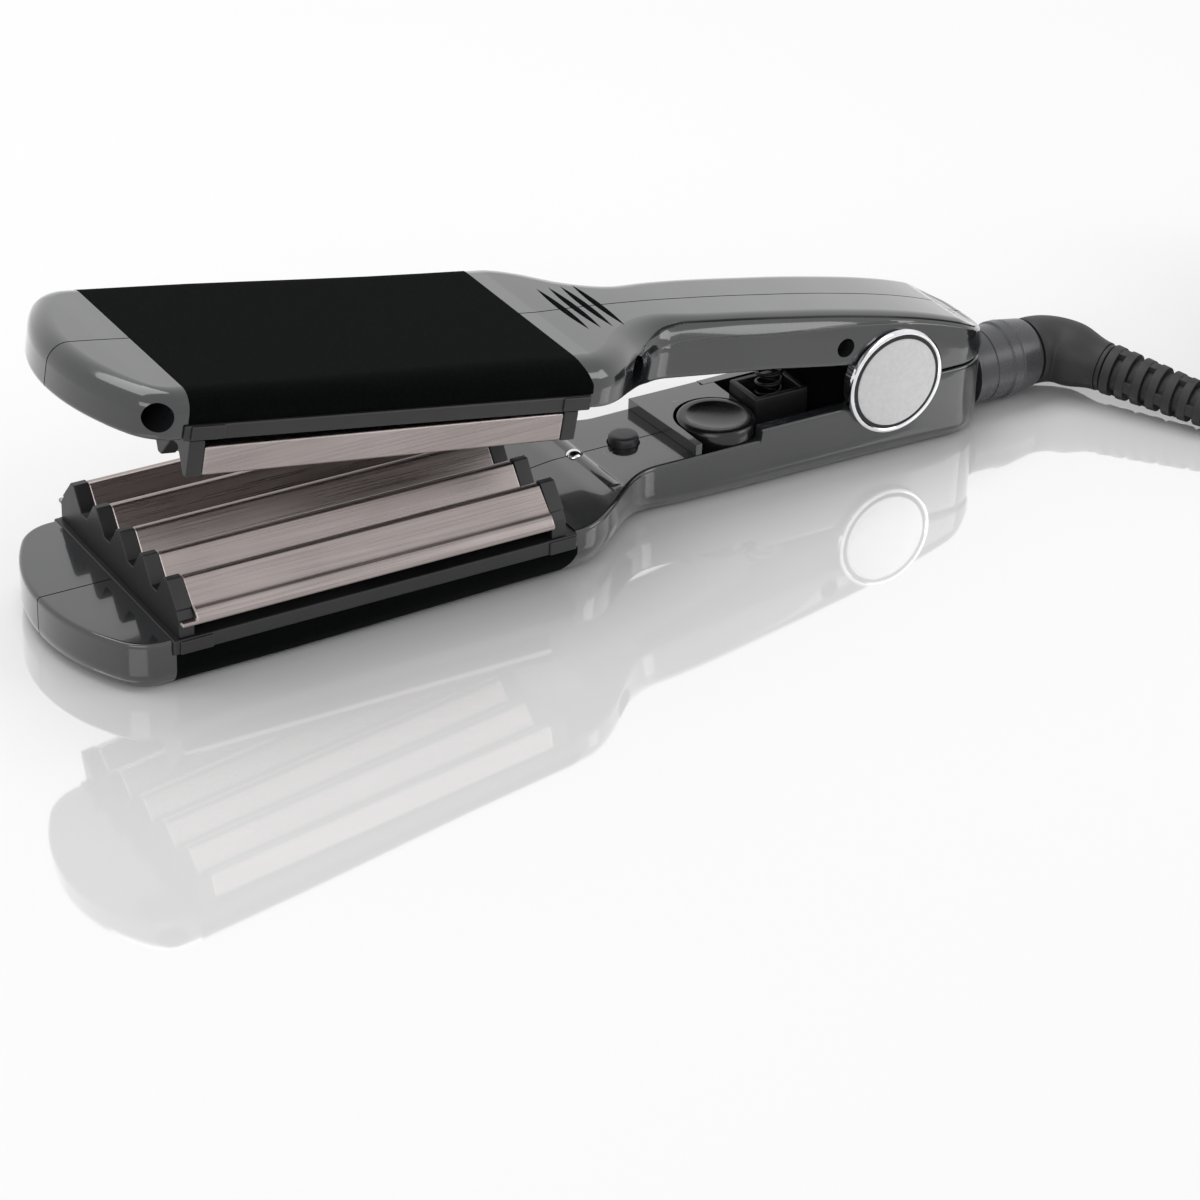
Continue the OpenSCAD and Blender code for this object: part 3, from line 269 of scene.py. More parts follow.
def lookup(x, table):
    """A value from a table of (x, value), on straight lines between its rows."""
    if x <= table[0][0]:
        return table[0][1]
    for (x0, v0), (x1, v1) in zip(table, table[1:]):
        if x <= x1:
            return v0 + (v1 - v0) * (x - x0) / (x1 - x0)
    return table[-1][1]


def ease(t):
    t = min(max(t, 0), 1)
    return (1 - math.cos(math.pi * t)) / 2


# %% [markdown]
# ## Finishes
# A finish is a node tree. Writing one as sums and products is easier to read than a list of links, so
# a `Signal` wraps a socket and lets Python's operators add the Math nodes. `Nodes` owns a tree, and its
# `node` adds any other node. A `Finish` is the tree of a material, and its `feed` joins a signal to the
# shader.

# %% Signals and finishes
class Signal:
    def __init__(self, nodes, socket):
        self.nodes, self.socket = nodes, socket

    def combine(self, operation, first, second):
        return self.nodes.node("ShaderNodeMath", {"operation": operation}, {0: first, 1: second})

    def __add__(self, other):
        return self.combine("ADD", self, other)

    def __sub__(self, other):
        return self.combine("SUBTRACT", self, other)

    def __rsub__(self, other):
        return self.combine("SUBTRACT", other, self)

    def __mul__(self, other):
        return self.combine("MULTIPLY", self, other)

    __radd__, __rmul__ = __add__, __mul__


class Nodes:
    def __init__(self, tree):
        self.tree = tree

    def node(self, kind, settings=None, inputs=None, output=0):
        made = self.tree.nodes.new(kind)
        for key, value in (settings or {}).items():
            setattr(made, key, value)
        for key, value in (inputs or {}).items():
            self.join(value, made.inputs[key])
        return Signal(self, made.outputs[output])

    def join(self, value, socket):
        if isinstance(value, Signal):
            self.tree.links.new(value.socket, socket)
        else:
            socket.default_value = value


class Finish(Nodes):
    def __init__(self, name, **constants):
        self.material = bpy.data.materials.new(name)
        self.material.use_nodes = True
        super().__init__(self.material.node_tree)
        self.shader = self.tree.nodes["Principled BSDF"]
        for socket, value in constants.items():
            self.shader.inputs[socket.replace("_", " ")].default_value = value
        self.place = self.node("ShaderNodeTexCoord", output="Object")

    def feed(self, socket, value):
        self.join(value, self.shader.inputs[socket])

    def noise(self, scale, detail=2, stretch=None):
        """Cloudy grey noise. A stretch of (1, 60, 60) draws it out into lines along x."""
        where = self.place
        if stretch:
            where = self.node("ShaderNodeMapping", inputs={"Vector": where, "Scale": stretch})
        return self.node("ShaderNodeTexNoise",
                         inputs={"Vector": where, "Scale": scale, "Detail": detail})

    def band(self, value, low, high):
        """Spreads the part of a signal between low and high over 0 to 1."""
        return self.node("ShaderNodeMapRange",
                         inputs={"Value": value, "From Min": low, "From Max": high})

    def tint(self, first, second, share):
        return self.node("ShaderNodeMix", {"data_type": "RGBA"},
                         {6: (*first, 1), 7: (*second, 1), 0: share}, output=2)

    def bump(self, height, distance):
        self.feed("Normal", self.node("ShaderNodeBump", inputs={
            "Height": height, "Distance": distance, "Strength": 1.0}))


# %% [markdown]
# ### Moulded plastic
# The casings are a dark plastic with a hard gloss. Real gloss is never even: handling leaves soft
# clouds in the roughness, and the mould's steel leaves a very fine waviness in the surface. Both are
# noise at two scales, one of about two centimetres and one of about half a millimetre. Matt parts use
# the same recipe with a rougher surface.

# %% Plastics
def moulded(name, dark, light, gloss, rough, grain=2500, relief=0.00002, **constants):
    finish = Finish(name, **constants)
    clouds, fine = finish.noise(45, 3), finish.noise(grain)
    mottle = finish.band(clouds + fine * 0.3, 0.45, 0.85)
    wear = finish.band(clouds * 0.6 + fine * 0.4, 0.35, 0.65)
    finish.feed("Base Color", finish.tint(dark, light, mottle))
    finish.feed("Roughness", gloss + (rough - gloss) * wear)
    finish.bump(fine, relief)
    return finish.material


LACQUER = {"grain": 1800, "relief": 0.000004, "Specular_IOR_Level": 0.4, "Coat_Weight": 1.0,
           "Coat_Roughness": 0.04, "Coat_IOR": 1.52}
CHARCOAL = moulded("charcoal_gloss", (0.016, 0.017, 0.019), (0.023, 0.024, 0.026), 0.12, 0.22,
                   **LACQUER)
SATIN_BLACK = moulded("satin_black", (0.008, 0.008, 0.009), (0.014, 0.014, 0.016), 0.34, 0.46)
MATT_BLACK = moulded("matt_black", (0.007, 0.007, 0.008), (0.012, 0.012, 0.013), 0.5, 0.65,
                     grain=3500, relief=0.00004)
PANEL_GREY = moulded("panel_charcoal", (0.028, 0.029, 0.032), (0.036, 0.037, 0.041), 0.16, 0.26,
                     **LACQUER)
COLLAR_GREY = moulded("collar_charcoal", (0.055, 0.056, 0.06), (0.075, 0.076, 0.08), 0.26, 0.36)
CONTROL_BLACK = moulded("control_black", (0.006, 0.006, 0.007), (0.01, 0.01, 0.012), 0.16, 0.26,
                        grain=1800, relief=0.000008)
BUTTON_GREY = moulded("button_charcoal", (0.03, 0.031, 0.034), (0.04, 0.041, 0.045), 0.3, 0.42)
CORD_BLACK = moulded("cord_black", (0.006, 0.006, 0.007), (0.011, 0.011, 0.012), 0.42, 0.55,
                     grain=3000, relief=0.00003)
RELIEF_BLACK = moulded("relief_black", (0.008, 0.008, 0.009), (0.014, 0.014, 0.016), 0.48, 0.62,
                       grain=3000, relief=0.00004)
STRAP_BLACK = moulded("strap_black", (0.006, 0.006, 0.006), (0.02, 0.02, 0.02), 0.7, 0.9,
                      grain=1200, relief=0.0002)
CERAMIC = moulded("fired_ceramic", (0.62, 0.6, 0.54), (0.74, 0.72, 0.66), 0.55, 0.75)
BOARD_GREEN = moulded("board_green", (0.01, 0.06, 0.02), (0.02, 0.1, 0.035), 0.3, 0.45)
COMPONENT_GREY = moulded("component_grey", (0.05, 0.05, 0.05), (0.09, 0.09, 0.09), 0.4, 0.55)
LEAD_RED = moulded("lead_red", (0.3, 0.03, 0.02), (0.42, 0.05, 0.04), 0.4, 0.55)
LEAD_SLEEVE = moulded("lead_sleeve", (0.02, 0.018, 0.016), (0.035, 0.03, 0.028), 0.6, 0.75)
PRINT_WHITE = moulded("printed_mark", (0.5, 0.5, 0.5), (0.62, 0.62, 0.62), 0.45, 0.55)
print("plastics made")

# %% [markdown]
# ### Metals
# Drawn and pressed metal carries fine lines in the direction in which it was worked. Noise stretched
# sixty times along x gives these lines, and they vary the colour, the roughness and the bump by a
# little. Polished pieces take it unstretched, as a fine mottle. The plates have a warm, pinkish
# coating that has darkened unevenly with heat.

# %% Metals
def worked_metal(name, dark, light, smooth, rough, lines=(1, 60, 60), scale=30, relief=0.000006):
    finish = Finish(name, Metallic=1.0)
    strands, clouds = finish.noise(scale, 4, lines), finish.noise(60)
    streaks = finish.band(strands * 0.7 + clouds * 0.3, 0.35, 0.65)
    finish.feed("Base Color", finish.tint(dark, light, streaks))
    finish.feed("Roughness", smooth + (rough - smooth) * finish.band(strands, 0.3, 0.7))
    finish.bump(strands, relief)
    return finish.material


PLATE = worked_metal("plate_coating", (0.29, 0.252, 0.244), (0.38, 0.335, 0.326), 0.24, 0.36)
SATIN_DISC = worked_metal("satin_disc", (0.47, 0.465, 0.47), (0.55, 0.545, 0.55), 0.3, 0.4,
                          lines=(1, 1, 1), scale=900, relief=0.000004)
BRIGHT_CHROME = worked_metal("bright_chrome", (0.72, 0.72, 0.74), (0.84, 0.84, 0.86), 0.06, 0.12,
                             lines=(1, 1, 1), scale=300, relief=0.000001)
# The spring's steel is painted dark for the shade inside its tower; the steel itself is plain.
DARK_STEEL = worked_metal("steel_painted_dark_for_shade", (0.02, 0.02, 0.022), (0.045, 0.045, 0.048), 0.38, 0.5)
STEEL = worked_metal("plain_steel", (0.42, 0.42, 0.43), (0.56, 0.56, 0.57), 0.28, 0.42)
BRASS = worked_metal("plain_brass", (0.62, 0.44, 0.18), (0.75, 0.55, 0.26), 0.25, 0.4)
NICKEL = worked_metal("nickel", (0.6, 0.58, 0.54), (0.72, 0.7, 0.66), 0.14, 0.24)
print("metals made")

# %% [markdown]
# ### Flock
# The pads are covered in flock: fibres half a millimetre long that stand on the surface and swallow
# light. Close to, they read as a very fine grain, and at a slant their tips catch a soft sheen. The
# sheen is the shader's own, and three noises of different sizes break up the nap.

# %% Flock
def flocked(name):
    finish = Finish(name, Sheen_Weight=0.015, Sheen_Roughness=0.5, Specular_IOR_Level=0.04)
    nap, fibres, lint = finish.noise(70, 3), finish.noise(5200, 3), finish.noise(1500)
    pile = finish.band(nap * 0.25 + fibres * 0.5 + lint * 0.25, 0.42, 0.72)
    finish.feed("Base Color", finish.tint((0.0007, 0.001, 0.0011), (0.0035, 0.004, 0.0042), pile))
    finish.feed("Roughness", 0.9 + 0.1 * nap)
    finish.bump(fibres * 0.7 + lint * 0.3, 0.00022)
    return finish.material


FLOCK = flocked("black_flock")
print("flock made")

# %% [markdown]
# ## Floor and light
# The tool lies on a pale, slightly polished table. Large soft lamps above and at the sides give
# glossy plastic long, quiet highlights, and the world is a plain pale grey that shows white to the
# camera and in reflections.

# %% Floor
def pale_floor():
    finish = Finish("pale_table", Specular_IOR_Level=1.0, Coat_Weight=1.0, Coat_Roughness=0.03,
                    Coat_IOR=2.3)
    finish.feed("Base Color", (0.96, 0.96, 0.96, 1))
    finish.feed("Roughness", 0.05)
    bm = bmesh.new()
    bmesh.ops.create_grid(bm, x_segments=1, y_segments=1, size=6)
    bmesh.ops.translate(bm, vec=(0, 0, -0.1 * MM), verts=bm.verts)
    mesh = mesh_of("table_top", bm)
    mesh.materials.append(finish.material)
    add_object("table_top", mesh)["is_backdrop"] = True


pale_floor()


# %% Lamps and world
def lamp(name, place, width, height, watts):
    """A soft rectangular lamp that looks at the middle of the scene."""
    light = bpy.data.lights.new(name, "AREA")
    light.shape, light.size, light.size_y, light.energy = "RECTANGLE", width, height, watts
    holder = add_object(name, light)
    holder.location = place
    holder.rotation_euler = (-Vector(place)).to_track_quat("-Z", "Y").to_euler()


lamp("top_lamp", (-0.1, 0.35, 1.1), 1.1, 0.7, 6)
lamp("front_lamp", (-0.9, -0.9, 0.75), 0.9, 0.5, 3)
lamp("side_lamp", (0.9, -0.7, 0.6), 0.5, 0.5, 2)

world = bpy.data.worlds.new("studio")
world.use_nodes = True
bpy.context.scene.world = world
sky = Nodes(world.node_tree)
shows_white = sum(sky.node("ShaderNodeLightPath", output=f"Is {kind} Ray")
                  for kind in ("Camera", "Glossy", "Transmission"))
strength = sky.node("ShaderNodeMapRange", inputs={"Value": shows_white, "To Min": 0.55, "To Max": 1.0})
background = sky.tree.nodes["Background"]
background.inputs["Color"].default_value = (1, 1, 1, 1)
sky.join(strength, background.inputs["Strength"])
bpy.context.scene.view_settings.view_transform = "Standard"
print("floor, lamps and world made")

# %% [markdown]
# ## Cord
# A round mains cord of 7 mm leaves the elbow's strain relief, falls to the table and is wound away
# behind the hinge in four flat layers, with its plug on top. It is one curve with a round bevel, which
# keeps its thickness in every bend. The route repeats the solids' own: a few listed points, then
# a spiral that goes in and out and climbs a little over a cord's thickness from layer to layer.

# %% Route of the cord
RUN = [(157.3, -51.6, 4.9), (159.0, -55.0, 4.6), (160.6, -58.2, 4.4), (163.2, -62.0, 4.3),
       (166.2, -66.0, 4.3), (169.6, -70.0, 4.4), (173.2, -73.8, 4.5), (177.0, -77.3, 4.6),
       (181.0, -80.5, 4.7), (185.2, -83.4, 4.8), (189.6, -86.0, 4.9), (194.2, -88.4, 4.9),
       (199.0, -90.6, 4.9), (203.8, -92.6, 4.9), (206.6, -93.7, 4.9), (208.5, -94.0, 4.9)]
CORD_D, COIL_PITCH, LAYERS, LAYER_TURNS = 7, 7.5, 4, 2.4
COIL_CENTRE, COIL_START, COIL_IN = (224, -47), math.radians(-100), 31
COIL_OUT = COIL_IN + COIL_PITCH * LAYER_TURNS
COIL_END = LAYERS * LAYER_TURNS + 0.65
LOW_Z, PLUG_Z = 4.9, 39.25
TURN_STEPS, LAST_BEND_R = 24, 30


def coil_point(turn):
    layer, share = divmod(turn / LAYER_TURNS, 1)
    radius = COIL_IN + (COIL_OUT - COIL_IN) * (share if layer % 2 else 1 - share)
    climb = sum(ease((turn - k * LAYER_TURNS) / 0.5 + 0.5) for k in range(1, LAYERS + 1))
    rise = (PLUG_Z - LOW_Z - LAYERS * COIL_PITCH) * ease((turn - COIL_END) / 0.4 + 1)
    angle = COIL_START + math.tau * turn
    return Vector((COIL_CENTRE[0] + radius * math.cos(angle),
                   COIL_CENTRE[1] + radius * math.sin(angle), LOW_Z + COIL_PITCH * climb + rise))


def toward(angle):
    return Vector((math.cos(angle), math.sin(angle), 0))


coil = [coil_point(i / TURN_STEPS) for i in range(int(COIL_END * TURN_STEPS) + 1)]
leave_angle = COIL_START + math.tau * COIL_END
leave = coil_point(COIL_END)
turn_centre = leave - LAST_BEND_R * toward(leave_angle)
last_bend = [turn_centre + LAST_BEND_R * toward(leave_angle + math.radians(a))
             for a in (10, 20, 30, 40)]
plug_at = last_bend[-1] + CORD_D * toward(leave_angle + math.radians(40 + 90))
route = [Vector(p) for p in RUN] + coil[1:] + last_bend + [plug_at]
route_length = sum((b - a).length for a, b in zip(route, route[1:]))
print("cord:", len(route), "points,", round(route_length), "mm")
print("plug at", [round(v, 1) for v in plug_at])


# %% Cord
def mains_cord():
    curve = bpy.data.curves.new("mains_cord", "CURVE")
    curve.dimensions, curve.fill_mode = "3D", "FULL"
    curve.bevel_depth, curve.bevel_resolution, curve.resolution_u = CORD_D / 2 * MM, 4, 2
    curve.use_fill_caps = True
    spline = curve.splines.new("BEZIER")
    spline.bezier_points.add(len(route) - 1)
    for knot, point in zip(spline.bezier_points, route):
        knot.co = point * MM
        knot.handle_left_type = knot.handle_right_type = "AUTO"
    curve.materials.append(CORD_BLACK)
    cord = add_object("mains_cord", curve)
    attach(cord, "cord_swivel")
    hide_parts("cord_run", "cord_coil")
    return cord


cord = mains_cord()

# %% [markdown]
# ## Elbow and strain relief
# The elbow is a short bent tube of soft plastic that turns in the collar. Ahead of it the strain relief
# tapers to the cord: rings joined by small bridges at alternating places, so that the gaps look like
# staggered notches and the whole bends evenly. The elbow is one circle drawn along a bend by extruding
# it ring by ring, and the relief is a lathe profile with bridges set between the rings.

# %% Elbow
def hose(rings, sides=48):
    """Extrudes a circle through a list of (matrix, radius) and closes both ends."""
    bm = bmesh.new()
    bmesh.ops.create_circle(bm, cap_ends=True, segments=sides, radius=1)
    front = [e for e in bm.edges]
    bmesh.ops.transform(bm, matrix=rings[0][0] @ Matrix.Diagonal((rings[0][1], rings[0][1], 1, 1)),
                        verts=bm.verts)
    for (before, r0), (after, r1) in zip(rings, rings[1:]):
        grown = bmesh.ops.extrude_edge_only(bm, edges=front)["geom"]
        front = edges_in(grown)
        step = (after @ Matrix.Diagonal((r1, r1, 1, 1))
                @ (before @ Matrix.Diagonal((r0, r0, 1, 1))).inverted())
        bmesh.ops.transform(bm, matrix=step, verts=verts_in(grown))
    bmesh.ops.contextual_create(bm, geom=front)
    bmesh.ops.recalc_face_normals(bm, faces=bm.faces)
    return bm


RELIEF_START = 10


def elbow_rings():
    """Out of the collar with a rounded edge, round the bend, then tapering to the strain relief."""
    start = Matrix.Translation((ELBOW_START, 0, 0)) @ ALONG
    rings = [(start @ Matrix.Translation((0, 0, z)), radius)
             for z, radius in ((0, 7.6), (0.25, 8.25), (0.8, 8.5))]
    rings += [(bend(step / 16), 8.5 - 0.3 * ease(step / 16)) for step in range(17)]
    rings += [(bend(1) @ Matrix.Translation((0, 0, RELIEF_START * step / 8)),
               8.2 - 1.9 * ease(step / 8)) for step in range(1, 9)]
    return rings


make("elbow_shell", hose(elbow_rings()), SWIVEL, "cord_swivel", ["swivel_elbow"],
     RELIEF_BLACK)


# %% Strain relief
def relief():
    length, ribs, wide, thin, first, filled = 42, 9, 12, 8.4, 1.6, 0.62
    pitch = (length - 4) / ribs
    radius = lambda z: (wide + (thin - wide) * z / length) / 2
    core = [(0, 0), (radius(0), 0), (radius(0), 1.2)]
    for i in range(ribs):
        z0, z1 = first + i * pitch, first + (i + filled) * pitch
        core += [(radius(z0) - 1.0, z0), (radius(z0) + 0.55, z0 + 0.15),
                 (radius(z1) + 0.5, z1 - 0.15), (radius(z1) - 1.0, z1)]
    core += [(radius(length) - 0.6, length - 1.4), (radius(length) - 0.1, length - 1),
             (3.9, length), (0, length)]
    bridges = []
    for i in range(ribs - 1):
        z = first + (i + (1 + filled) / 2) * pitch
        r = radius(z)
        for turn in (0, math.pi):
            bridge = block(r - 1.6, r + 0.4, -1.5, 1.5, z - pitch * 0.25, z + pitch * 0.25)
            spin = Matrix.Rotation(turn + (math.pi / 2 if i % 2 else 0), 4, "Z")
            bmesh.ops.transform(bridge, matrix=spin, verts=bridge.verts)
            bridges.append(bridge)
    return together(lathe(core, 64), *bridges)


make("ribbed_relief", relief(), OUTLET @ Matrix.Translation((0, 0, RELIEF_START)), "cord_swivel",
     ["strain_relief"], RELIEF_BLACK, bevel=0.2, segments=2)

# %% [markdown]
# ## Plug and tie
# The plug is the flat two-pin kind, moulded onto the cord. Its solid has the right outline, so a copy
# of it only needs generous rounding. The tie is a strap of hook tape round the coil.

# %% Plug and tie
plug = soften("plug_body", CORD_BLACK, 1.6, segments=4)
pins = soften("plug_pins", NICKEL, 0.3)
tie = soften("cord_tie", STRAP_BLACK, 0.5)

# %% [markdown]
# ## Casings
# Each arm is two moulded halves that meet on a seam down the middle. One casing is drawn as a stack of
# rings: a circle is moved onto the arm's outline, extruded upwards ring by ring, and drawn in where the
# edge rounds over. Booleans then make the hollow, the wells and the seats in the whole body, a thin
# blade cuts a shallow groove along the seam so that the joint shows as a hairline, and the body is
# parted there last. The upper head falls a little to the neck, and `fallen` lowers its details too.

# %% Outline of an arm
NOSE_X, TAIL_X, HEAD_HALF, HINGE_HALF, HANDLE_HALF = -217, 31.7, 30.4, 15.3, 14.5
HEAD_REAR, NECK_END = -95.5, -66
NOSE_R, CORNER_R, TAIL_R = 47, 11, 11.7
NOSE_CX = NOSE_X + NOSE_R
CORNER_CY = HEAD_HALF - CORNER_R
CORNER_CX = NOSE_CX - math.sqrt((NOSE_R - CORNER_R) ** 2 - CORNER_CY ** 2)
CORNER_ANGLE = math.degrees(math.atan2(CORNER_CY, CORNER_CX - NOSE_CX))


def arc(cx, cy, radius, start, stop, steps):
    """Points of an arc, each with the angle in which it faces."""
    angles = [math.radians(start + (stop - start) * i / steps) for i in range(steps + 1)]
    return [(cx + radius * math.cos(a), cy + radius * math.sin(a), a) for a in angles]


def half_width(x):
    if x < HEAD_REAR:
        return HEAD_HALF
    if x < NECK_END:
        share = ease((x - HEAD_REAR) / (NECK_END - HEAD_REAR))
        return HEAD_HALF + (HANDLE_HALF - HEAD_HALF) * share
    return HANDLE_HALF + (HINGE_HALF - HANDLE_HALF) * min((x - NECK_END) / -NECK_END, 1)


def arm_outline(stations):
    side = arc(NOSE_CX, 0, NOSE_R, 179.7, CORNER_ANGLE, 14)
    side += arc(CORNER_CX, CORNER_CY, CORNER_R, CORNER_ANGLE, 90, 14)[1:]
    for x in stations:
        lean = math.atan((half_width(x + 0.1) - half_width(x - 0.1)) / 0.2)
        side.append((x, half_width(x), math.pi / 2 + lean))
    side += arc(TAIL_X - TAIL_R, HINGE_HALF - TAIL_R, TAIL_R, 90, 0, 14)
    return side + [(x, -y, -a) for x, y, a in reversed(side)]


def spread(start, stop, step):
    count = round((stop - start) / step)
    return [start + (stop - start) * i / count for i in range(count + 1)]


# %% Body of an arm
def ring_points(outline, inset, height):
    """The outline drawn in by inset(x) at height(x)."""
    return [Vector((x - inset(x) * math.cos(a), y - inset(x) * math.sin(a), height(x)))
            for x, y, a in outline]


def arm_body(outline, rings):
    """A closed body through rings, each an (inset, height) pair of functions of x."""
    bm = bmesh.new()
    bmesh.ops.create_circle(bm, cap_ends=False, segments=len(outline), radius=1)
    level, front = list(bm.verts), list(bm.edges)
    levels = []
    for inset, height in rings:
        if levels:
            grown = bmesh.ops.extrude_edge_only(bm, edges=front)["geom"]
            front, fresh = edges_in(grown), set(verts_in(grown))
            level = [next(e.other_vert(v) for e in v.link_edges if e.other_vert(v) in fresh)
                     for v in level]
        for vert, point in zip(level, ring_points(outline, inset, height)):
            vert.co = point
        levels.append(level)
    last = len(outline) - 1
    for level in (levels[0], levels[-1]):
        for i in range(len(outline) // 2 - 1):
            bm.faces.new((level[i], level[i + 1], level[last - 1 - i], level[last - i]))
    bmesh.ops.recalc_face_normals(bm, faces=bm.faces)
    return bm

# %% [markdown]
# The rings' heights come from tables along x: the inner face, the flat or falling back and the radius
# of the edge. `wall_rings` walks up the side, over the rounding and a little way onto the back, with an
# extra ring beside each flat so that the flat stays flat in reflections.

# %% Rings of a casing
def smooth_lookup(x, table):
    """The table's values on a curve without corners."""
    steps = [(x + d, lookup(x + d, table)) for d in (-6, -3, 0, 3, 6)]
    return sum(value for _, value in steps) / len(steps)


def head_edge(x):
    return smooth_lookup(x, [(NOSE_X, 4.6), (-170, 4.6), (HEAD_REAR, 8), (-72, 7.5), (-56, 5.5),
                             (0, 5.5), (TAIL_X, 4)])


def constant(value):
    return lambda x: value


def section(face, back, inset):
    """The lowest height, the height where the edge begins to round, and the radius, along x."""
    low = lambda x: face(x) + inset
    high = lambda x: max(back(x) - inset, low(x) + 1)
    radius = lambda x: min(max(min(head_edge(x), (back(x) - face(x)) * 0.62) - inset, 0.4),
                           (high(x) - low(x)) * 0.7)
    return low, lambda x: high(x) - radius(x), radius


def rim_rings(low, start, inset, rim=0.9):
    """Rings that round the inner edge of a wall."""
    size = lambda x: min(rim, (start(x) - low(x)) * 0.35)
    rings = []
    for angle in (0, 30, 60, 90):
        turn = math.radians(angle)
        rings.append((lambda x, t=turn: inset + size(x) * (1 - math.sin(t)),
                      lambda x, t=turn: low(x) + size(x) * (1 - math.cos(t))))
    rings.append((constant(inset), lambda x: low(x) * 0.9 + start(x) * 0.1 + size(x) * 0.9))
    return rings


def wall_rings(face, back, inset, plain=False, steps=9):
    """Rings of a body whose skin is drawn in by an inset. A plain one has a sharp inner edge."""
    low, start, radius = section(face, back, inset)
    rings = [(constant(inset), low)] if plain else rim_rings(low, start, inset) + [
        (constant(inset), lambda x: low(x) * 0.08 + start(x) * 0.92)]
    for step in range(steps + 1):
        turn = math.pi / 2 * step / steps
        rings.append((lambda x, t=turn: inset + radius(x) * (1 - math.cos(t)),
                      lambda x, t=turn: start(x) + radius(x) * math.sin(t)))
    if not plain:
        rings.append((lambda x: inset + radius(x) + 0.4, lambda x: start(x) + radius(x)))
    return rings


UPPER_FALL, UPPER_TIP_BACK = 1.8, 19.6
HEAD_FACE, DECK_FACE, WAIST_FACE = 9.2, 7.8, 5
DECK_END, WAIST_END = (-37.1, -36.7), (12.9, 13.3)
SPLIT_H, SPLIT_GAP = 1.6, 0.4


def fallen(fall, points):
    """Points in x and h, lowered evenly from nothing at the tip to the whole fall at the neck."""
    return [(x, h - fall * (x - NOSE_X) / (HEAD_REAR - NOSE_X)) for x, h in points]


def lower_face(x):
    return lookup(x, [(NOSE_X, HEAD_FACE), (-98.5, HEAD_FACE), (-85.4, DECK_FACE),
                      (DECK_END[0], DECK_FACE), (DECK_END[1], WAIST_FACE),
                      (WAIST_END[0], WAIST_FACE), (WAIST_END[1], SPLIT_H), (TAIL_X, SPLIT_H)])


def split_line(x):
    tilt = math.radians(OPEN_DEG)
    return (SPLIT_GAP - SPLIT_H + x * math.sin(tilt)) / math.cos(tilt)


def upper_face(x):
    return lookup(x, [(NOSE_X, HEAD_FACE), (-94.5, HEAD_FACE - UPPER_FALL), (-84, 7.2),
                      (-72, WAIST_FACE), (-35, WAIST_FACE), (-WAIST_END[0], 4.2), (0, 4.2),
                      (WAIST_END[0], split_line(WAIST_END[0])), (TAIL_X, split_line(TAIL_X))])


def upper_back(x):
    return smooth_lookup(x, [(NOSE_X, UPPER_TIP_BACK), (HEAD_REAR, UPPER_TIP_BACK - UPPER_FALL),
                             (NECK_END, 18.8), (-44, 18.4), (-18, 17.3), (0, 15.9), (10, 14.7),
                             (18, 13.3), (25, 11.6), (30, 9.7), (TAIL_X, 8.6)])


lower_back = constant(PIVOT_Z)

# %% [markdown]
# The upper handle has a sunken band along each shoulder, between two fine creases. It runs from the
# neck to the tail and leads the eye to the chrome disc. The rings of the upper casing therefore follow
# the creases: each crease is three rings close together, and the middle one is pressed inwards.

# %% Rings with creases
def crease_low(x):
    return 1.02 + 0.15 * ease((x + 78) / 16) + 0.33 * ease((x + 45) / 50)


def crease_high(x):
    return 1.3 + 0.37 * ease((x + 78) / 18)


def creased_rings(face, back):
    depth_low = lambda x: 0.28 * ease((x + 74) / 8) * ease((8 - x) / 12)
    depth_high = lambda x: 0.6 * ease((x + 79) / 10) * ease((TAIL_X - 1 - x) / 8)
    low, start, radius = section(face, back, 0)
    plan = [(lambda x: 0.9, None)]
    plan += [(lambda x, d=d: crease_low(x) + d, depth_low if d == 0 else None)
             for d in (-0.05, 0, 0.05)]
    plan += [(lambda x, s=s: crease_low(x) * (1 - s) + crease_high(x) * s, None)
             for s in (0.4, 0.65)]
    plan += [(lambda x, d=d: crease_high(x) + d, depth_high if d == 0 else None)
             for d in (-0.05, 0, 0.045)]
    plan += [(lambda x, s=s: (crease_high(x) + 0.045) * (1 - s) + 2 * s, None)
             for s in (0.2, 0.4, 0.6, 0.8, 1)]
    rings = rim_rings(low, start, 0)
    for share, push in plan:
        turn = lambda x, share=share: math.pi / 2 * (share(x) - 1)

        def inset(x, turn=turn, push=push):
            t = turn(x)
            rounded = radius(x) * (1 - math.cos(t)) if t > 0 else 0
            return rounded + (push(x) * math.cos(t) if push else 0)

        def height(x, turn=turn, push=push):
            t = turn(x)
            rise = radius(x) * math.sin(t) if t > 0 else (start(x) - low(x)) * t / math.pi
            return start(x) + rise - (push(x) * math.sin(t) if push else 0)
        rings.append((inset, height))
    rings.append((lambda x: radius(x) + 0.4, lambda x: start(x) + radius(x)))
    return rings


# %% Booleans and halves
def combine(base, tool, operation="DIFFERENCE"):
    """Cuts, joins or intersects one bmesh with another and returns the result as a bmesh."""
    base = add_object("base", mesh_of("base", base))
    tool = add_object("tool", mesh_of("tool", tool))
    modifier = base.modifiers.new("combine", "BOOLEAN")
    modifier.operation, modifier.object, modifier.solver = operation, tool, "EXACT"
    bpy.context.view_layer.update()
    result = bmesh.new()
    result.from_object(base, bpy.context.evaluated_depsgraph_get())
    for used in (base, tool):
        mesh = used.data
        bpy.data.objects.remove(used)
        bpy.data.meshes.remove(mesh)
    return result


def prism(side, reach):
    """A polygon in x and h, drawn out across the arm to both sides."""
    bm = slab(side, 2 * reach)
    stand = Matrix.Translation((0, reach, 0)) @ Matrix.Rotation(math.pi / 2, 4, "X")
    bmesh.ops.transform(bm, matrix=stand, verts=bm.verts)
    return bm


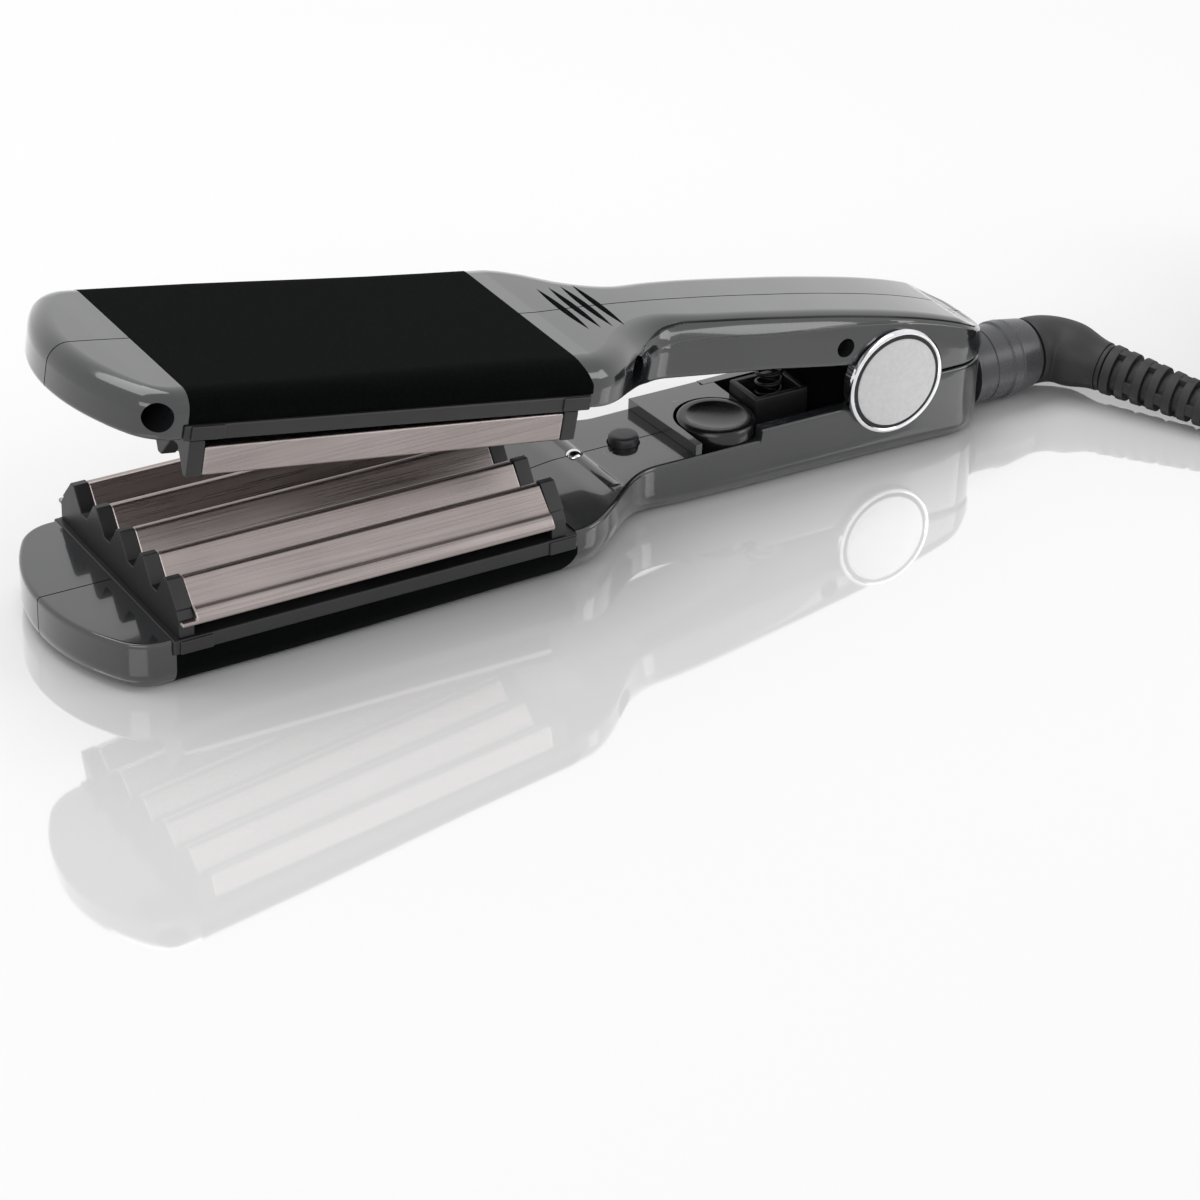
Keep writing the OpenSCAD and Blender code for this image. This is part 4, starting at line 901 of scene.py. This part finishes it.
def twin_prisms(side, reach, y):
    """The same prism on both sides of the arm, with its middle at y and at -y."""
    pair = [prism(side, reach), prism(side, reach)]
    for part, shift in zip(pair, (y, -y)):
        bmesh.ops.translate(part, vec=(0, shift, 0), verts=part.verts)
    return together(*pair)


def both(radius, y0, y1):
    """A bar on the hinge's axis from y0 to y1, and its mirror image."""
    return together(bar(0, 0, radius, y0, y1, 96), bar(0, 0, radius, -y1, -y0, 96))


# %% [markdown]
# The pads lie in a recess of the casings. One prism across the head marks the region that a pad covers:
# the pad is the part of the arm's skin inside it, and the casing gives up the same part. Its rear edge
# leans forward towards the top.

# %% Outlines and pad region
NECK_STATIONS = spread(CORNER_CX, HEAD_REAR, 15)[1:] + spread(HEAD_REAR, NECK_END, 1.5)[1:]
LOWER_STATIONS = (NECK_STATIONS + spread(NECK_END, DECK_END[0], 6)[1:] + [DECK_END[1]]
                  + spread(DECK_END[1], WAIST_END[0], 6)[1:] + [WAIST_END[1], 17])
UPPER_STATIONS = NECK_STATIONS + spread(NECK_END, 19, 2.5)[1:]
ARMS = {"lower": (LOWER_STATIONS, lower_face, lower_back, 0, LOWER),
        "upper": (UPPER_STATIONS, upper_face, upper_back, UPPER_FALL, UPPER)}


def pad_region(fall):
    front, rear, step, above = -198, -97, 12.9, 30
    return prism(fallen(fall, [(front, step), (rear, step), (rear, 15), (-98.05, 17.2),
                               (-100, 20.2), (-100, above), (front, above)]), 80)


def flock_pad(arm):
    stations, face, back, fall, place = ARMS[arm]
    outline = arm_outline(stations)
    skin = arm_body(outline, wall_rings(face, back, -0.05))
    region = combine(skin, pad_region(fall), "INTERSECT")
    pad = combine(region, arm_body(outline, wall_rings(face, back, 1.2, plain=True, steps=5)))
    piece = make(arm + "_flock_pad", pad, place, arm + "_arm", [arm + "_pad"], FLOCK)


for arm in ARMS:
    flock_pad(arm)

# %% [markdown]
# ## The four casing halves
# The lower casing is open under the hinge: a channel there holds the spring's tower and the dial's
# rear half. The upper casing has round eyes that reach down beside the lower arm's eyes, slits that
# let heat out, and screws that enter from the near side. In the lower arm they enter from the far
# side. A well is listed as its x, its h, its radius and how far its boss reaches to each side.

# %% Cuts that both casings share
SKIN, BOSS_WALL, SEAM_HALF, SEAM_DEPTH = 3.4, 0.6, 0.17, 0.25
PAD_RECESS, SEAT_FRONT, SEAT_REAR, SEAT_H = 1.25, -199.05, -97.45, 12.85
FAR = 60  # a cutter's reach, past any part of an arm


def casing(arm, rings, hollow_rear, wells, well_side):
    """A whole casing: skin, hollow, bosses, pad recess, frame seat, screw wells and seam."""
    stations, face, back, fall, _ = ARMS[arm]
    outline = arm_outline(stations)

    def core(inset, steps):
        return arm_body(outline, wall_rings(face, back, inset, plain=True, steps=steps))

    bm = arm_body(outline, rings)
    front_part = block(-300, hollow_rear, -FAR, FAR, -FAR, FAR)
    bm = combine(bm, combine(core(SKIN, 4), front_part, "INTERSECT"))
    bm = combine(bm, together(*[bar(x, h, radius + BOSS_WALL, -reach, reach, 32)
                                for x, h, radius, reach in wells]), "UNION")
    bm = combine(bm, combine(pad_region(fall), core(PAD_RECESS, 5)))
    seat = [(SEAT_FRONT, -61), (SEAT_REAR, -61), (SEAT_REAR, SEAT_H), (SEAT_FRONT, SEAT_H)]
    bm = combine(bm, prism(fallen(fall, seat), 61))
    bm = combine(bm, together(*[bar(x, h, radius, *sorted((well_side * 5, well_side * FAR)), 48)
                                for x, h, radius, _ in wells]))
    blade = block(-300, 100, -SEAM_HALF, SEAM_HALF, -62, 62)
    return combine(bm, combine(blade, core(SEAM_DEPTH, 5)))


def make_halves(whole, arm):
    for side, ending in ((-1, "_right"), (1, "_left")):
        keep = block(-310, 110, *sorted((0, side * 70)), -70, 70)
        make(arm + ending + "_casing", combine(whole.copy(), keep, "INTERSECT"), ARMS[arm][-1],
             arm + "_arm", [arm + ending + "_shell"], CHARCOAL)
    whole.free()


# %% Lower casing
LAMP_X, BUTTON_X, DIAL_X, DIAL_Y = -80, -66.4, -43, -3.9
HEAD_WELLS = [(-204.6, 14.2, 3.2, 26), (-79.4, 11.2, 3.2, 17.5)]
LOWER_WELLS = HEAD_WELLS + [(14.5, 16.4, 2.4, 13.2)]
lower = casing("lower", wall_rings(lower_face, lower_back, 0), 60, LOWER_WELLS, 1)
lower = combine(lower, together(pillar(DIAL_X, DIAL_Y, 10.2, -FAR, 11.3),
                                pillar(BUTTON_X, 0, 4, -FAR, 11.3),
                                pillar(LAMP_X, 0, 2.12, -FAR, 10)))
lower = combine(lower, block(-53.15, -42, -14.05, -3, -61, 11.2))
lower = combine(lower, prism([(-37.7, -63), (-37.7, 7.85), (-33.6, 7.85), (-33.6, 8.6), (12.7, 8.6),
                              (12.7, -63)], 11.87))
lower = combine(lower, both(12.6, 12.4, FAR))
EYE_R, PIN_BORE, BUSH_BORE = 10, 3.02, 4.2
eye_side = [(x, h) for x, h, _ in arc(0, 0, EYE_R, 0, -180, 36)]
lower = combine(lower, twin_prisms([(-EYE_R, 18.8), (EYE_R, 18.8)] + eye_side, 1.24, 11.14), "UNION")
lower = combine(lower, bar(0, 0, PIN_BORE, -FAR, FAR, 48))
stub_hole = pillar(0, 0, 4.3, 26, 33)
bmesh.ops.transform(stub_hole, matrix=Matrix.Translation((0, 0, PIVOT_Z - SWIVEL_Z)) @ ALONG,
                    verts=stub_hole.verts)
make_halves(combine(lower, stub_hole), "lower")

# %% Upper casing
UPPER_WELLS = HEAD_WELLS + [(-15.9, 9.3, 2.4, 13.2)]
SLIT_HALF, SLIT_BULGE, SLIT_PITCH, SLIT_COUNT, SLIT_FLOOR = 12, 0.95, 3.2, 4, 14.6


def slit(x):
    """A leaf between two shallow arcs, 24 mm long and 1.9 mm wide."""
    bulge = [(SLIT_BULGE * (1 - (y / SLIT_HALF) ** 2), y) for y in spread(-SLIT_HALF, SLIT_HALF, 1.5)]
    bm = slab([(x + b, y) for b, y in bulge] + [(x - b, y) for b, y in reversed(bulge[1:-1])], 30)
    bmesh.ops.translate(bm, vec=(0, 0, SLIT_FLOOR), verts=bm.verts)
    return bm


upper = casing("upper", creased_rings(upper_face, upper_back), 14, UPPER_WELLS, -1)
upper = combine(upper, both(12.3, 12.5, 15.27), "UNION")
LUG_R = 10.9
lug_space = [(x, h) for x, h, _ in arc(0, 0, LUG_R, 0, 180, 36)]
upper = combine(upper, prism(lug_space + [(-LUG_R, -FAR), (LUG_R, -FAR)], 12.7))
upper = combine(upper, bar(0, 0, BUSH_BORE, -FAR, FAR, 48))
slits = together(*[slit(-88 + SLIT_PITCH * i) for i in range(SLIT_COUNT)])
make_halves(combine(upper, slits), "upper")

# %% [markdown]
# ## Heads
# Behind each plate stand a frame and a carrier, and a toothed cap closes each end. They are moulded
# parts with plain shapes, so copies of their solids with rounded edges are enough. The plates get more
# rounding: each ridge is drawn into sheet metal and its crest catches a long narrow highlight.

# %% Frames, carriers, plates and caps
for arm in ARMS:
    soften(arm + "_plate_frame", SATIN_BLACK, 0.5)
    soften(arm + "_plate_carrier", MATT_BLACK, 0.3, segments=2)
    soften(arm + "_crimp_plate", PLATE, 0.75, segments=4, sharp=20)
    soften(arm + "_front_cap", SATIN_BLACK, 0.35, sharp=20)
    soften(arm + "_rear_cap", SATIN_BLACK, 0.35, sharp=20)

# %% [markdown]
# The frame's rails end in small blocks, where the pads' edges clip in.

# %% Rail blocks
def rail_blocks(arm):
    fall, place = ARMS[arm][-2:]
    low, high, half_thick, y = 9.5, 12.7, 0.55, 31.15
    blocks = [twin_prisms(fallen(fall, [(x0, low), (x1, low), (x1, high), (x0, high)]), half_thick, y)
              for x0, x1 in ((-197.5, -189.5), (-105, -98))]
    make(arm + "_rail_blocks", together(*blocks), place, arm + "_arm", [], SATIN_BLACK,
         bevel=0.35)


for arm in ARMS:
    rail_blocks(arm)

# %% [markdown]
# ## Controls
# The lamp, the button and the dial are round, so each is a profile turned on a lathe. The dial has a
# thick rim and a dished top, which gathers the light into one blurred patch. The panel under it is a
# separate plate with a small tick to read the dial against.

# %% Lamp
lens = [(0, -1.25), (0.5, -1.2), (1.0, -1.02), (1.45, -0.72), (1.8, -0.32), (1.98, 0.1), (2.1, 0.3),
        (2.1, 2.0), (0, 2.0)]
make("lamp_lens", lathe([(r, h + DECK_FACE) for r, h in lens], 64),
     LOWER @ Matrix.Translation((LAMP_X, 0, 0)), "lower_arm", ["indicator_lens"],
     BRIGHT_CHROME)

# %% Power button
button = [(0, 5.62), (2.4, 5.55), (3.1, 5.62), (3.45, 5.85), (3.62, 6.3), (3.7, 6.9), (3.7, 11.5),
          (4.7, 11.5), (4.7, 11.7), (0, 11.7)]
make("power_button_cap", lathe(button, 72), LOWER @ Matrix.Translation((BUTTON_X, 0, 0)),
     "power_button", ["power_button"], BUTTON_GREY)


# %% Power mark
def power_mark():
    """A broken ring with a stroke, the common sign for a power switch."""
    bm = bmesh.new()
    outline = [(x, y) for x, y, _ in arc(0, 0, 1.1, 35, 320, 19)]
    inner = [(x * 0.78, y * 0.78) for x, y in outline]
    verts = [[bm.verts.new((x, y, 0)) for x, y in ring] for ring in (outline, inner)]
    for i in range(len(outline) - 1):
        bm.faces.new((verts[0][i], verts[0][i + 1], verts[1][i + 1], verts[1][i]))
    stroke = ((0.35, -0.12, 0), (1.35, -0.12, 0), (1.35, 0.12, 0), (0.35, 0.12, 0))
    bm.faces.new([bm.verts.new(corner) for corner in stroke])
    thicken(bm, -0.04)
    bmesh.ops.translate(bm, vec=(-72.6, -3.2, 7.82), verts=bm.verts)
    return bm


make("power_mark", power_mark(), LOWER, "lower_arm", [], PRINT_WHITE)

# %% Dial panel and its tick
soften("dial_panel", PANEL_GREY, 0.45)
make("panel_tick", block(-48.2, -46.9, 7.0, 7.4, 4.96, 5.02), LOWER, "lower_arm", [],
     PRINT_WHITE)

# %% Dial
dial = [(0, 5.7), (3.0, 5.6), (5.2, 5.3), (6.6, 4.9), (7.15, 4.6), (7.5, 4.5), (8.5, 4.5), (9.0, 4.62),
        (9.4, 4.95), (9.7, 5.6), (9.9, 6.4), (9.9, 9.7), (3, 9.7), (3, 14), (0, 14)]
make("heat_dial", lathe(dial, 128), LOWER @ Matrix.Translation((DIAL_X, DIAL_Y, 0)),
     "temperature_dial", ["temperature_dial"], CONTROL_BLACK, sharp=40)

# %% [markdown]
# ## Hinge
# The opening spring stands in a small tower and pushes the arms apart. It is one round wire: a circle
# extruded ring by ring along a helix with closed end coils.

# %% Tower and spring
SPRING_X, TOWER_FLOOR = X_SHIFT - 25.5, -13
soften("spring_tower", SATIN_BLACK, 0.45)


def spring():
    coils, radius, wire, steps = 8, 3.15, 0.45, 28
    seat_x, seat_h, clearance = 21.9, 4.6, 0.3
    tilt = math.radians(OPEN_DEG)
    low = TOWER_FLOOR + wire
    high = seat_x * math.sin(tilt) + seat_h * math.cos(tilt) - clearance
    length = high - wire - low
    dead, rest = 0.9, 0.085
    rings = []
    for step in range(coils * steps + 1):
        t = step / steps
        share = (rest * t / dead if t < dead else 1 - rest * (coils - t) / dead if t > coils - dead
                 else rest + (1 - 2 * rest) * (t - dead) / (coils - 2 * dead))
        turn = math.tau * t
        at = Vector((radius * math.cos(turn), radius * math.sin(turn), low + length * share))
        heading = Vector((-math.sin(turn), math.cos(turn), 0)).to_track_quat("Z", "Y")
        rings.append((Matrix.Translation(at) @ heading.to_matrix().to_4x4(), wire))
    return hose(rings, 12)


# The wire takes the steel that is painted dark for the shade it stands in.
wire = make("opening_spring_wire", spring(), SCALE @ Matrix.Translation((SPRING_X, 0, PIVOT_Z)),
            "lower_arm", ["opening_spring"], DARK_STEEL)
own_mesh(wire)

# %% [markdown]
# Two chrome discs cover the ends of the hinge pin. The satin face, the black ring in a narrow groove
# and the polished rim are separate lathe shapes, because each has its own finish.

# %% Discs
def disc(profile):
    """A lathe shape on both sides of the arm."""
    bm = lathe(profile, 144)
    bmesh.ops.transform(bm, matrix=Matrix.Translation((0, 15.6, 0)) @ ACROSS, verts=bm.verts)
    return together(bm, mirrored(bm))


face = [(0, 0.3), (11.3, 0.3), (11.3, 1.5), (11.0, 1.56), (6, 1.6), (0, 1.6)]
rim = [(11.2, 0), (13.1, 0), (13.4, 0.4), (13.4, 1.05), (13.25, 1.4), (12.85, 1.6), (12.5, 1.58),
       (12.2, 1.35), (12.1, 1.0), (11.2, 1.0), (11.2, 0)]
make("disc_faces", disc(face), LOWER, "lower_arm", ["pivot_caps"], SATIN_DISC)
make("disc_rims", disc(rim), LOWER, "lower_arm", [], BRIGHT_CHROME)
make("disc_grooves", disc([(11.25, 0.9), (12.2, 0.9), (12.2, 1.4), (11.25, 1.4), (11.25, 0.9)]), LOWER,
     "lower_arm", ["pivot_rings"], MATT_BLACK)

# %% [markdown]
# ## Cord collar
# The collar is a short sleeve at the tail that holds the swivel. It has shallow rings turned into it
# and a tapered lip at the elbow.

# %% Collar
collar = [(7, 31.7), (9.8, 31.7), (9.8, 32.6), (9.3, 33.0), (9.3, 36.8), (9.05, 37.0), (9.05, 37.4),
          (9.3, 37.6), (9.3, 41.9), (9.8, 42.4), (9.8, 44.6), (9.45, 44.9), (9.45, 45.3), (9.6, 45.6),
          (8.8, 50.9), (8.5, 51.5), (8.1, 52.0), (7, 52.0), (7, 31.7)]
make("cord_collar_sleeve", lathe(collar), SWIVEL @ ALONG, "lower_arm", ["cord_collar"],
     COLLAR_GREY, sharp=40)

# %% [markdown]
# ## Inside parts
# What stays inside keeps its solid and gets a finish: the board and its components, the leads, the
# heaters and their clamps, the screws, the pin in its brass bushes, and the swivel's contacts. The
# upper leads wear a dark sleeve, because they lie under the slits.

# %% Finishes of the inside parts
INSIDE = [
    (CERAMIC, "lower_heater upper_heater"), (LEAD_RED, "lower_leads"), (LEAD_SLEEVE, "upper_leads"),
    (STEEL, "lower_heater_clamp upper_heater_clamp lower_screws upper_screws hinge_pin"),
    (STEEL, "thermal_fuse swivel_clip"), (MATT_BLACK, "dial_potentiometer brush_block"),
    (BOARD_GREEN, "circuit_board"), (COMPONENT_GREY, "board_components"),
    (BRASS, "hinge_bushes brushes slip_rings"), (RELIEF_BLACK, "swivel_hub"),
]
inside = {node: finish for finish, nodes in INSIDE for node in nodes.split()}
for node, finish in inside.items():
    mesh = frame["nodes"][node].data
    mesh.materials.clear()
    mesh.materials.append(finish)
shown = [name for name, node in frame["nodes"].items() if not node.hide_render]
print("solids still shown:", sorted(set(shown) - set(inside)) or "only the inside parts")

# %% [markdown]
# ## Sizes
# Both boxes, of the dressed part and of its solids, are gathered, and how far the first grows is
# printed. The dressed part must fill the same box as its solids.

# %% Boxes
low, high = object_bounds()
sizes = {"cad": [list(cad_low), list(cad_high)], "visual": [list(low), list(high)]}
print("box grows by", [round((a - b) * 1000, 2) for a, b in zip((*low, *high), (*cad_low, *cad_high))])
